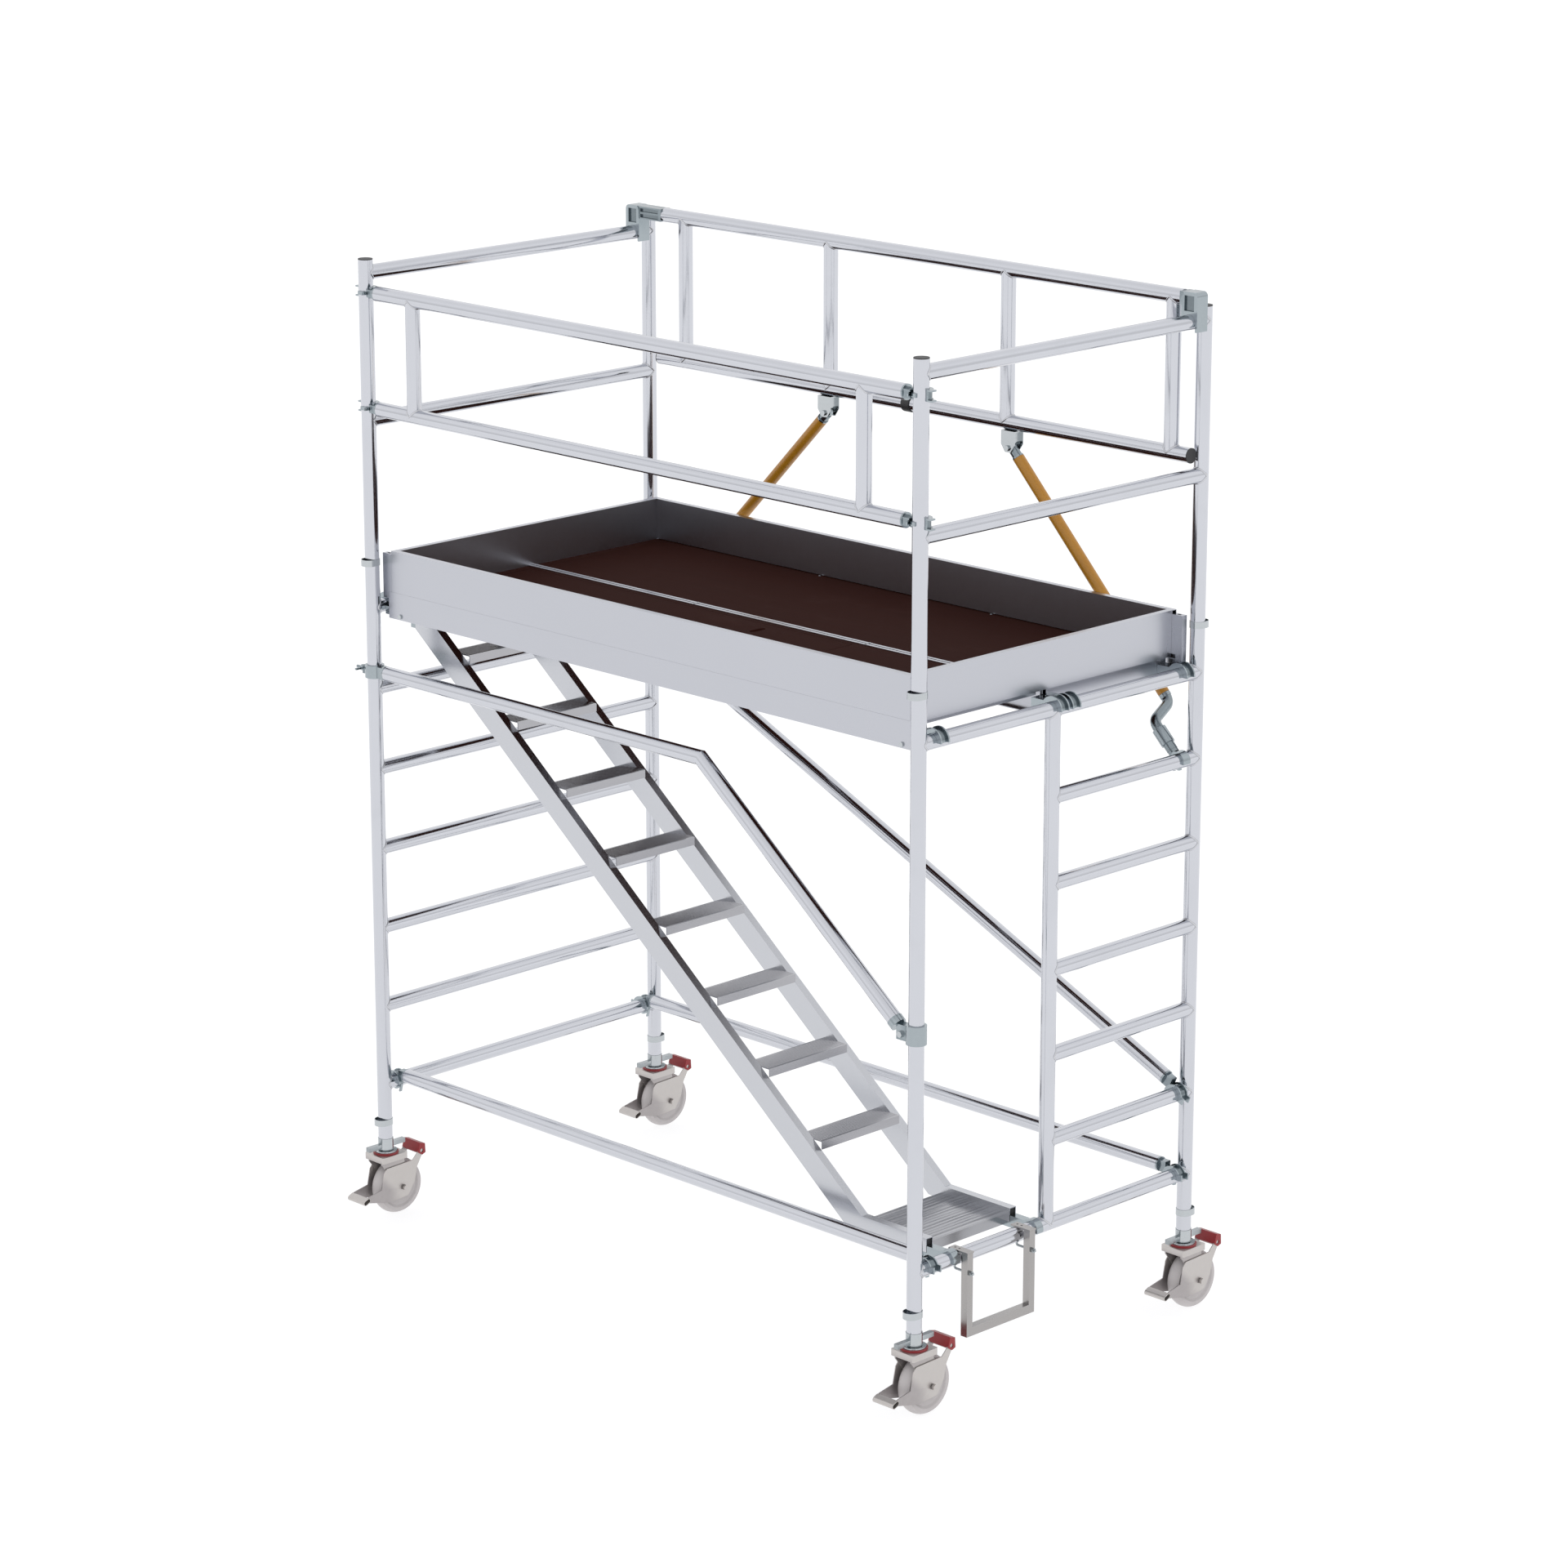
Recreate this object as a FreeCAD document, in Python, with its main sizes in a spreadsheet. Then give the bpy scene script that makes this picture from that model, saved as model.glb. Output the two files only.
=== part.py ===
import FreeCAD, Part
import math
import os
import re
from types import SimpleNamespace

# Wheeled aluminium access tower. Millimetres, +Z up, origin on the ground under the middle of the bay.
# X runs along the bay, Y across it. Corners: a (-X,-Y), b (+X,-Y), c (+X,+Y), d (-X,+Y).

os.makedirs("parts", exist_ok=True)
doc = FreeCAD.newDocument("access_tower")
V = FreeCAD.Vector
AXIS_X, AXIS_Y, AXIS_Z = V(1, 0, 0), V(0, 1, 0), V(0, 0, 1)

# ---------------------------------------------------------------- driving dimensions
DIMENSIONS = [
    # end frames
    ("bay_length", 2565), ("bay_width", 1300), ("tube_dia", 50), ("tube_wall", 2.5),
    ("foot_height", 287.5), ("frame_height", 2000), ("rung_first", 200), ("rung_pitch", 285.7),
    ("mid_post_offset", -40),
    # upper guard frames
    ("guard_height", 1106), ("guard_mid", 561), ("guard_top", 1061.5), ("spigot_length", 160),
    # guardrails; a clear distance is measured in from the middle of the end posts
    ("claw_width", 36), ("rail_over_rung", 0.5),
    ("front_rail_low", "=guard_mid + tube_dia / 2 + claw_width / 2 + rail_over_rung"), ("front_rail_high", 996.5), ("front_strut_clear", 237.5),
    ("rear_rail_low", 629), ("rear_rail_high", 1135), ("rear_end_clear", 58.5), ("rear_rail_shift", 56),
    ("rear_strut_clear", 163.5), ("rear_shift", 79), ("rear_strut_inner", 408), ("hook_long", 142),
    ("hook_short", 42),
    # braces
    ("brace_inset", 55), ("brace_lift", 27), ("claw_reach", 62), ("claw_wall", 8),
    ("knee_dia", 40), ("knee_inset", 75), ("knee_offset", 19), ("knee_shift", 86), ("knee_spread", 425),
    ("knee_side_clear", 2.3),
    ("slip", 0.3),
    # handrail
    ("handrail_height", 1977), ("handrail_bend_clear", 957.5), ("handrail_foot_clear", 94.5),
    ("handrail_foot_height", 1302),
    # decks and toe boards
    ("deck_over_rung", 53.3), ("deck_top", "=foot_height + rung_first + 6 * rung_pitch + deck_over_rung"),
    ("deck_clear", 47.5), ("deck_length", "=bay_length - 2 * deck_clear"),
    ("deck_side_clear", 30), ("deck_edge", "=bay_width / 2 - deck_side_clear"), ("deck_gap", 6),
    ("deck_depth", 89), ("panel_thick", 12), ("plate", 3), ("lip", 12),
    ("door_end_clear", 75), ("door_left", "=door_end_clear - deck_length / 2"), ("door_right", 400),
    ("door_side_clear", 55), ("door_front", "=door_side_clear - deck_edge"), ("door_back", -34),
    ("door_play", 2), ("toe_thick", 22), ("toe_height", 143), ("toe_side_drop", 11), ("toe_inset", 17),
    ("toe_wall", 2), ("clip_width", 44),
    # stairway
    ("stair_side_clear", 160), ("stair_near", "=stair_side_clear - bay_width / 2"), ("stair_far", -100),
    ("stringer_width", 30), ("stringer_depth", 81), ("stringer_wall", 2.5), ("landing_top", 536),
    ("landing_rail_depth", 46), ("landing_clear", 87.5), ("landing_end", "=bay_length / 2 - landing_clear"),
    ("landing_length", 287), ("landing_drop", 31), ("stair_head_clear", 107.5), ("head_end_clear", 47.5),
    ("tread_count", 8), ("tread_first", 730), ("tread_last_step", 205.5), ("tread_depth", 105),
    ("tread_nose", 28),
    # hanging step
    ("step_tube", 26), ("step_side_clear", 193), ("step_near", "=step_side_clear - bay_width / 2"),
    ("step_far", -166), ("step_bottom", 232),
    # casters
    ("wheel_dia", 200), ("wheel_width", 50), ("trail", 45), ("axle_dia", 12), ("spindle_dia", 38),
    ("swivel_top", 232), ("seal_dia", 90), ("nut_dia", 54), ("nut_height", 42), ("lug_reach", 82),
    ("fork_gap", 63), ("fork_wall", 5), ("run", 0.3), ("jack_insert", 300),
]
sheet = doc.addObject("Spreadsheet::Sheet", "Sizes")
for row, (alias, value) in enumerate(DIMENSIONS, start=1):
    sheet.set("A%d" % row, alias)
    sheet.set("B%d" % row, str(value))
    sheet.setAlias("B%d" % row, alias)
doc.recompute()
s = SimpleNamespace(**{alias: float(getattr(sheet, alias)) for alias, _ in DIMENSIONS})
ALIASES = re.compile(r"\b(" + "|".join(sorted((a for a, _ in DIMENSIONS), key=len, reverse=True)) + r")\b")


def bind(obj, **expressions):
    """Bind properties to sheet cells; a double underscore in a name stands for a dot."""
    for prop, text in expressions.items():
        obj.setExpression(prop.replace("__", "."), ALIASES.sub(r"Sizes.\1", str(text)))
    return obj


def primitive(kind, name, at, turn=None, **sizes):
    """A Part primitive with its sizes and place bound to the sheet."""
    obj = doc.addObject("Part::" + kind, name)
    if turn is not None:
        obj.Placement = FreeCAD.Placement(V(), turn)
    bind(obj, **sizes)
    return bind(obj, Placement__Base__x=at[0], Placement__Base__y=at[1], Placement__Base__z=at[2])


TURN = {"x": FreeCAD.Rotation(AXIS_Y, 90), "y": FreeCAD.Rotation(AXIS_X, -90), "z": FreeCAD.Rotation()}


def rod(name, at, along, length, radius):
    return primitive("Cylinder", name, at, TURN[along], Radius=radius, Height=length)


def block(name, at, size):
    return primitive("Box", name, at, None, Length=size[0], Width=size[1], Height=size[2])


def cut(name, base, tool):
    obj = doc.addObject("Part::Cut", name)
    obj.Base, obj.Tool = base, tool
    return obj


def group(name, members):
    obj = doc.addObject("Part::Compound", name)
    obj.Links = members
    return obj


def tube(name, at, along, length, dia="tube_dia", wall="tube_wall", trim=None):
    """A round tube along an axis, optionally trimmed to the outside of other tubes."""
    solid = cut(name, rod(name + "_outside", at, along, length, dia + "/2"),
                rod(name + "_bore", at, along, length, dia + "/2 - " + wall))
    return cut(name + "_coped", solid, trim) if trim else solid


NODES = []


def node(obj, label):
    """Register a finished sub-part; its label names its file."""
    obj.Label = label
    NODES.append((obj, label))
    return obj


def feature(label, solids, at=V()):
    """A sub-part whose solids come straight from Part functions, placed at a point."""
    obj = doc.addObject("Part::Feature", label)
    obj.Shape = Part.makeCompound(solids)
    obj.Placement = FreeCAD.Placement(at, FreeCAD.Rotation())
    return node(obj, label)


# Places that several sub-parts share
RAIL_BOTTOM = s.deck_top - s.deck_depth
LIP_TOP = s.deck_top + s.plate
HALF_X, HALF_Y = s.bay_length / 2, s.bay_width / 2
SEAM = s.foot_height + s.frame_height
PANEL_END = s.deck_length / 2 - s.toe_inset - s.toe_thick - s.slip
TUBE_R = s.tube_dia / 2
CORNERS = {"a": (-1, -1), "b": (1, -1), "c": (1, 1), "d": (-1, 1)}
X_OF = {-1: "-bay_length/2", 1: "bay_length/2"}
Y_OF = {-1: "-bay_width/2", 1: "bay_width/2"}


def rung_height(index):
    return s.foot_height + s.rung_first + index * s.rung_pitch


def rung_cell(index):
    return "foot_height + rung_first + %d * rung_pitch" % index


def cylinder(radius, length, at, direction):
    return Part.makeCylinder(radius, length, at, direction)


def hollow(outer, inner, length, at, direction):
    return cylinder(outer, length, at, direction).cut(cylinder(inner, length, at, direction))


def box(x0, x1, y0, y1, z0, z1):
    return Part.makeBox(x1 - x0, y1 - y0, z1 - z0, V(x0, y0, z0))


def prism(points, direction):
    """A closed outline of 3-D points, filled and pushed along a vector."""
    return Part.Face(Part.makePolygon(points + points[:1])).extrude(direction)


def path_wire(points, bend):
    """Straight runs joined by tangent arcs of one bend radius (0 leaves sharp corners)."""
    edges, start = [], points[0]
    for before, corner, after in zip(points, points[1:], points[2:]):
        way_in, way_out = (corner - before).normalize(), (after - corner).normalize()
        turn = way_in.getAngle(way_out)
        back = bend * math.tan(turn / 2)
        enter, leave = corner - way_in * back, corner + way_out * back
        edges.append(Part.LineSegment(start, enter).toShape())
        if bend:
            toward = (way_out - way_in).normalize()
            middle = corner + toward * (bend / math.cos(turn / 2) - bend)
            edges.append(Part.Arc(enter, middle, leave).toShape())
        start = leave
    edges.append(Part.LineSegment(start, points[-1]).toShape())
    return Part.Wire(edges)


def pipe(points, radius, bend=0):
    """A round bar along a bent path."""
    wire = path_wire(points, bend)
    ring = Part.Wire(Part.Circle(points[0], points[1] - points[0], radius).toShape())
    return wire.makePipeShell([ring], True, False, 1 if bend == 0 else 0)


def behind(point, normal):
    """A block large enough to hold everything on the back of a plane."""
    size = 4 * s.bay_length
    block_shape = Part.makeBox(size, size, size, V(-size / 2, -size / 2, -size))
    return placed(block_shape, point, FreeCAD.Rotation(AXIS_Z, normal))


def placed(shape, at, turn):
    moved = shape.copy()
    moved.Placement = FreeCAD.Placement(at, turn)
    return moved


def mitred(shape, point, normal):
    """The two solids on either side of a mitre."""
    knife = behind(point, normal)
    return [shape.common(knife), shape.cut(knife)]


# ---------------------------------------------------------------- tower frames
# Spring clips: bands that stand off the outer side of each post, with a pin through the post wall.
CLIP_Z = (s.foot_height + 61, SEAM + 71)


def post(name, sx, sy, base, length):
    return tube(name, (X_OF[sx], Y_OF[sy], base), "z", length)


def post_envelopes(name, sx, ys, base, length):
    """Solid outsides of the posts of one end, which the rung ends are coped to."""
    return group(name, [rod("%s_%d" % (name, i), (X_OF[sx], y, base), "z", length, "tube_dia/2")
                        for i, y in enumerate(ys)])


def end_frame_left():
    """Ladder frame with seven rungs over its full width."""
    sx = -1
    envelope = post_envelopes("left_posts", sx, [Y_OF[-1], Y_OF[1]], "foot_height", "frame_height")
    members = [post("left_post_a", sx, -1, "foot_height", "frame_height"),
               post("left_post_d", sx, 1, "foot_height", "frame_height")]
    for k in range(7):
        members.append(tube("left_rung_%d" % k, (X_OF[sx], Y_OF[-1], rung_cell(k)), "y", "bay_width",
                            trim=envelope))
    node(group("left_frame", members), "end_frame_left")


def end_frame_right():
    """Walk-through frame: full rungs at top and bottom, short rungs between the middle post and post c."""
    sx = 1
    outer = post_envelopes("right_posts", sx, [Y_OF[-1], Y_OF[1]], "foot_height", "frame_height")
    inner = post_envelopes("right_pair", sx, ["mid_post_offset", Y_OF[1]], "foot_height", "frame_height")
    full = group("full_rungs", [rod("full_rung_%d" % k, (X_OF[sx], Y_OF[-1], rung_cell(k)), "y", "bay_width",
                                    "tube_dia/2") for k in (0, 6)])
    members = [post("right_post_b", sx, -1, "foot_height", "frame_height"),
               post("right_post_c", sx, 1, "foot_height", "frame_height"),
               tube("middle_post", (X_OF[sx], "mid_post_offset", rung_cell(0)), "z", "6 * rung_pitch",
                    trim=full)]
    for k in (0, 6):
        members.append(tube("right_rung_%d" % k, (X_OF[sx], Y_OF[-1], rung_cell(k)), "y", "bay_width",
                            trim=outer))
    for k in range(1, 6):
        members.append(tube("short_rung_%d" % k, (X_OF[sx], "mid_post_offset", rung_cell(k)), "y",
                            "bay_width/2 - mid_post_offset", trim=inner))
    node(group("right_frame", members), "end_frame_right")


def guard_frames():
    """Upper frames standing on the seams of both end frames, with their sleeves inside the posts below."""
    base = "foot_height + frame_height"
    members = [tube("spigot_" + corner, (X_OF[sx], Y_OF[sy], base + " - spigot_length/2"), "z",
                    "spigot_length", "(tube_dia - 2 * tube_wall - 2 * slip)")
               for corner, (sx, sy) in CORNERS.items()]
    for side, sx in (("left", -1), ("right", 1)):
        envelope = post_envelopes(side + "_guard_posts", sx, [Y_OF[-1], Y_OF[1]], base, "guard_height")
        for sy in (-1, 1):
            members.append(post("%s_guard_post_%d" % (side, sy + 1), sx, sy, base, "guard_height"))
        for level in ("guard_mid", "guard_top"):
            members.append(tube("%s_%s_rung" % (side, level), (X_OF[sx], Y_OF[-1], base + " + " + level),
                                "y", "bay_width", trim=envelope))
    node(group("guards", members), "guard_frames")


def end_plugs():
    """Black plastic: plugs in post tops, rear lower rail and landing rails, and the collar on the rear rail."""
    plugs = []
    bore = TUBE_R - s.tube_wall - s.slip
    for sx, sy in CORNERS.values():
        at = V(sx * HALF_X, sy * HALF_Y, SEAM + s.guard_height)
        head = cylinder(TUBE_R, 3, at, AXIS_Z)
        plugs.append(head.fuse(cylinder(bore, 12, at - AXIS_Z * 12, AXIS_Z)).removeSplitter())
    height = SEAM + s.rear_rail_low
    for sx in (-1, 1):
        at = V(s.rear_rail_shift + sx * (HALF_X - s.rear_end_clear), REAR_Y, height)
        out = AXIS_X * sx
        plugs.append(cylinder(TUBE_R, 3, at, out).fuse(cylinder(bore, 12, at - out * 12, out)).removeSplitter())
    plugs.append(hollow(TUBE_R + 4, TUBE_R + s.slip / 2, 34, V(28, REAR_Y, height), AXIS_X))
    wall = s.stringer_wall + s.slip
    for y in (s.stair_near, s.stair_far):
        half = s.stringer_width / 2
        low = s.landing_top - s.landing_rail_depth
        plugs.append(box(s.landing_end - 12, s.landing_end - 4, y - half + wall, y + half - wall,
                         low + wall, s.landing_top - wall))
    feature("end_plugs", plugs)


def stadium(radius, offset, height, at):
    """A round-ended slab: a circle stretched by an offset along Y."""
    low, high = min(0, offset), max(0, offset)
    slab = cylinder(radius, height, at, AXIS_Z).fuse(cylinder(radius, height, at + V(0, offset, 0), AXIS_Z))
    return slab.fuse(box(at.x - radius, at.x + radius, at.y + low, at.y + high, at.z, at.z + height))


def spring_clips():
    """Eight bands round the posts, standing off on the outer side, each with a lock pin."""
    clips = []
    for sx, sy in CORNERS.values():
        for z in CLIP_Z:
            at = V(sx * HALF_X, sy * HALF_Y, z - 11)
            inner = TUBE_R + s.slip
            band = stadium(inner + 1.8, sy * 14, 22, at).cut(stadium(inner, sy * 14, 22, at))
            start = at + V(0, sy * (TUBE_R + s.slip), 11)
            pin = cylinder(4, 14.2, start, AXIS_Y * sy)
            clips.append(band.fuse(pin).removeSplitter())
    feature("spring_clips", clips)


# ---------------------------------------------------------------- claws: cast hooks with spring latches
def claw(lift):
    """Hook for a tube along Y at the origin; the brace comes in from +X, its axis raised by lift."""
    grip, half = TUBE_R + s.slip, s.claw_width / 2
    outer = grip + s.claw_wall
    jaw = hollow(outer, grip, s.claw_width, V(0, -half, 0), AXIS_Y)
    jaw = jaw.cut(box(-outer - 1, outer + 1, -half - 1, half + 1, -outer - 1, -6))
    jaw = jaw.cut(box(-outer - 1, 0, 8 - half, half - 8, grip + 3, outer + 1))
    lip = hollow(outer + 4, grip, 5, V(0, -half, 0), AXIS_Y)
    lip = lip.fuse(box(-outer - 14, -grip + 4, -half, 5 - half, -6, 16)).cut(
        box(-outer - 30, outer + 5, -half - 1, half + 1, -outer - 5, -6))
    lip = lip.cut(cylinder(grip, s.claw_width, V(0, -half, 0), AXIS_Y))
    lips = [lip, lip.translated(V(0, s.claw_width - 5, 0))]
    neck = box(grip + 2, s.claw_reach, -half + 5, half - 5, lift - 21, lift + 17)
    neck = neck.cut(cylinder(grip, s.claw_width, V(0, -half, 0), AXIS_Y))
    neck = neck.cut(box(grip, grip + 7, -6.4, 6.4, -60, -6))
    collar = cylinder(TUBE_R, 6, V(s.claw_reach - 6, 0, lift), AXIS_X)
    collar = collar.cut(cylinder(grip, 2 * s.tube_dia, V(0, -s.tube_dia, 0), AXIS_Y))
    stub = cylinder(TUBE_R - s.tube_wall - s.slip, 60, V(s.claw_reach - 6, 0, lift), AXIS_X)
    return jaw.multiFuse(lips + [neck, collar, stub]).removeSplitter()


def latch(lift):
    """Spring lever that closes the mouth of a claw under the gripped tube."""
    grip = TUBE_R + s.slip
    arc = hollow(grip + 6, grip, 12, V(0, -6, 0), AXIS_Y)
    arc = arc.cut(box(-60, 60, -10, 10, -6.3, 60))
    arc = arc.cut(box(-60, -6, -10, 10, -60, 60))
    thumb = prism([V(grip + 2, -5, -10), V(grip + 6, -5, -8), V(grip - 2, -5, -38), V(grip - 7, -5, -37)],
                  V(0, 10, 0))
    thumb = thumb.cut(cylinder(grip, 40, V(0, -20, 0), AXIS_Y))
    return arc.fuse(thumb).removeSplitter()


def facing(inward, slope):
    """Turn a claw so that its brace leaves toward inward (+1 or -1 along X), rising by slope degrees."""
    about_z = FreeCAD.Rotation(AXIS_Z, 0 if inward > 0 else 180)
    return about_z.multiply(FreeCAD.Rotation(AXIS_Y, -slope))


def diagonal_line():
    """End points on the rungs and the slope of the rear diagonal brace."""
    rise = rung_height(5) - rung_height(1)
    return math.degrees(math.atan(rise / s.bay_length))


def claw_places():
    """Every claw: place of the gripped tube's axis, turn, and lift of its brace."""
    places = []
    side_y = HALF_Y - s.brace_inset
    for y in (-side_y, side_y):
        for sx in (-1, 1):
            places.append((V(sx * HALF_X, y, rung_height(0)), facing(-sx, 0), s.brace_lift))
    slope = diagonal_line()
    places.append((V(-HALF_X, side_y, rung_height(5)), facing(1, -slope), s.brace_lift))
    places.append((V(HALF_X, side_y, rung_height(1)), facing(-1, slope), s.brace_lift))
    for z in (SEAM + s.front_rail_low, SEAM + s.front_rail_high):
        for sx in (-1, 1):
            upright = FreeCAD.Rotation(AXIS_X, 90 * sx)
            turn = FreeCAD.Rotation(AXIS_Z, 0 if sx < 0 else 180).multiply(upright)
            places.append((V(sx * HALF_X, -HALF_Y, z), turn, 0))
    return places


def claws():
    shapes = {0: claw(0), s.brace_lift: claw(s.brace_lift)}
    feature("claws", [placed(shapes[lift], at, turn) for at, turn, lift in claw_places()])


def claw_latches():
    shape = latch(0)
    feature("claw_latches", [placed(shape, at, turn) for at, turn, _ in claw_places()])


# ---------------------------------------------------------------- guardrails and braces
def front_guardrail():
    """Two rails with two struts, held to posts a and b by four claws."""
    base = "foot_height + frame_height"
    start, length = "-bay_length/2 + claw_reach", "bay_length - 2 * claw_reach"
    rails = [rod("front_rail_envelope_" + level, (start, Y_OF[-1], "%s + %s" % (base, level)), "x", length,
                 "tube_dia/2") for level in ("front_rail_low", "front_rail_high")]
    envelope = group("front_rail_envelopes", rails)
    members = [tube("front_" + level, (start, Y_OF[-1], "%s + %s" % (base, level)), "x", length)
               for level in ("front_rail_low", "front_rail_high")]
    for sx in (-1, 1):
        members.append(tube("front_strut_%d" % (sx + 1),
                            ("%d * (bay_length/2 - front_strut_clear)" % sx, Y_OF[-1], base + " + front_rail_low"),
                            "z", "front_rail_high - front_rail_low", trim=envelope))
    node(group("front_rails", members), "front_guardrail")


REAR_Y = HALF_Y - s.tube_dia - s.slip
REAR_Y_CELL = "bay_width/2 - tube_dia - slip"
STRUT_REACH = "(bay_length/2 - rear_strut_clear)"
REAR_STRUTS = ("rear_shift - " + STRUT_REACH, "rear_shift - rear_strut_inner",
               "rear_shift + rear_strut_inner", "rear_shift + " + STRUT_REACH)


def rear_guardrail():
    """Two rails with four struts, just inside the posts; hooks hold the top rail, plugs close the lower."""
    base = "foot_height + frame_height"
    spans = {"rear_rail_low": ("rear_rail_shift - bay_length/2 + rear_end_clear",
                               "bay_length - 2 * rear_end_clear"),
             "rear_rail_high": ("slip - bay_length/2 + hook_long", "bay_length - hook_long - hook_short - 2 * slip")}
    envelope = group("rear_rail_envelopes",
                     [rod("rear_envelope_" + level, (start, REAR_Y_CELL, "%s + %s" % (base, level)), "x",
                          length, "tube_dia/2") for level, (start, length) in spans.items()])
    members = [tube("rear_" + level, (start, REAR_Y_CELL, "%s + %s" % (base, level)), "x", length)
               for level, (start, length) in spans.items()]
    for i, x in enumerate(REAR_STRUTS):
        members.append(tube("rear_strut_%d" % i, (x, REAR_Y_CELL, base + " + rear_rail_low"), "z",
                            "rear_rail_high - rear_rail_low", trim=envelope))
    node(group("rear_rails", members), "rear_guardrail")


def rear_hook_brackets():
    """Castings on the ends of the rear top rail, hooked over the guard frames' top rungs."""
    rung_z, rail_z = SEAM + s.guard_top, SEAM + s.rear_rail_high
    top, grip = rail_z + TUBE_R - 2, TUBE_R + s.slip
    y0, y1 = REAR_Y - 27, REAR_Y + 24
    shapes = []
    for sx, reach in ((-1, s.hook_long), (1, s.hook_short)):
        bar, near = sx * HALF_X, grip + 8
        head = box(bar - near, bar + near, y0, y1, rung_z - 30, top)
        round_edges = [e for e in head.Edges if e.BoundBox.YLength > 20 and e.BoundBox.ZMin > top - 1]
        head = head.makeFillet(16, round_edges)
        xs = sorted((bar, bar - sx * (reach - 0.2)))
        body = head.fuse(box(xs[0], xs[1], y0 + 2, y1 - 2, rail_z - TUBE_R + 3, top - 1))
        body = body.cut(cylinder(grip, s.bay_width, V(bar, -HALF_Y, rung_z), AXIS_Y))
        body = body.cut(box(bar - grip, bar + grip, y0 - 1, y1 + 1, rung_z - 60, rung_z))
        window = sorted((bar - sx * 20, bar + sx * 20))
        body = body.cut(box(window[0], window[1], y0 - 1, y0 + 7, rung_z + grip + 10, top - 12))
        pocket = sorted((bar - sx * (near + 5), bar - sx * (reach - 14)))
        if reach > near + 30:
            for z in (rail_z - 17, rail_z + 3):
                body = body.cut(box(pocket[0], pocket[1], y0 - 1, y0 + 9, z, z + 12))
        post_side = cylinder(grip, s.guard_height, V(bar, HALF_Y, SEAM + 4), AXIS_Z)
        shapes.append(body.cut(post_side).removeSplitter())
    feature("rear_hook_brackets", shapes)


KNEE_DROP = 72


def knee_pivots():
    """Pivots of the knee braces under the rear lower rail, left then right, with their side."""
    z = SEAM + s.rear_rail_low - TUBE_R - KNEE_DROP + 14
    return [(side, V(s.knee_shift + side * s.knee_spread, REAR_Y, z)) for side in (-1, 1)]


def brace_brackets():
    """Folded plates under the rear rail that carry the knee braces."""
    shapes = []
    top = SEAM + s.rear_rail_low - TUBE_R - s.slip
    for side, pivot in knee_pivots():
        x = pivot.x
        outline = [V(x - 30, 0, top), V(x + 30, 0, top), V(x + 30, 0, top - 46), V(x + 12, 0, top - KNEE_DROP),
                   V(x - 12, 0, top - KNEE_DROP), V(x - 30, 0, top - 46)]
        cheek = prism(outline, V(0, 3, 0))
        hole = cylinder(5.2, 100, V(pivot.x, REAR_Y - 50, pivot.z), AXIS_Y)
        cheeks = [cheek.translated(V(0, REAR_Y + dy, 0)).cut(hole) for dy in (-22, 19)]
        roof = box(x - 30, x + 30, REAR_Y - 19, REAR_Y + 19, top - 3, top)
        shapes.append(roof.multiFuse(cheeks).removeSplitter())
    feature("brace_brackets", shapes)


def knee_route(side, pivot):
    """Corner points of a knee brace: straight outside the deck, then an S back in to the rung."""
    inset = s.knee_inset if side > 0 else s.knee_inset + s.knee_offset
    hook = V(side * HALF_X, HALF_Y - inset, rung_height(5))
    foot = hook + V(-side * 22, 0, 22)
    low = hook + V(-side * 112, 0, 112)
    high = V(hook.x - side * 133, 0, hook.z + 154)
    toe_top = LIP_TOP + s.slip + s.toe_height
    share = (pivot.z - toe_top) / (pivot.z - high.z)
    high.y = REAR_Y + (s.deck_edge + s.knee_dia / 2 + s.knee_side_clear - REAR_Y) / share
    return [pivot, high, low, foot], hook


def knee_braces():
    """Yellow tubes from the brackets down to the S-shaped ends."""
    tubes = []
    for side, pivot in knee_pivots():
        route, _ = knee_route(side, pivot)
        along = (route[1] - pivot).normalize()
        start, length = pivot + along * 42, (route[1] - pivot).Length - 42 - 34
        radius = s.knee_dia / 2
        tubes.append(hollow(radius, radius - 2.5, length, start, along))
    feature("knee_braces", tubes)


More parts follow.
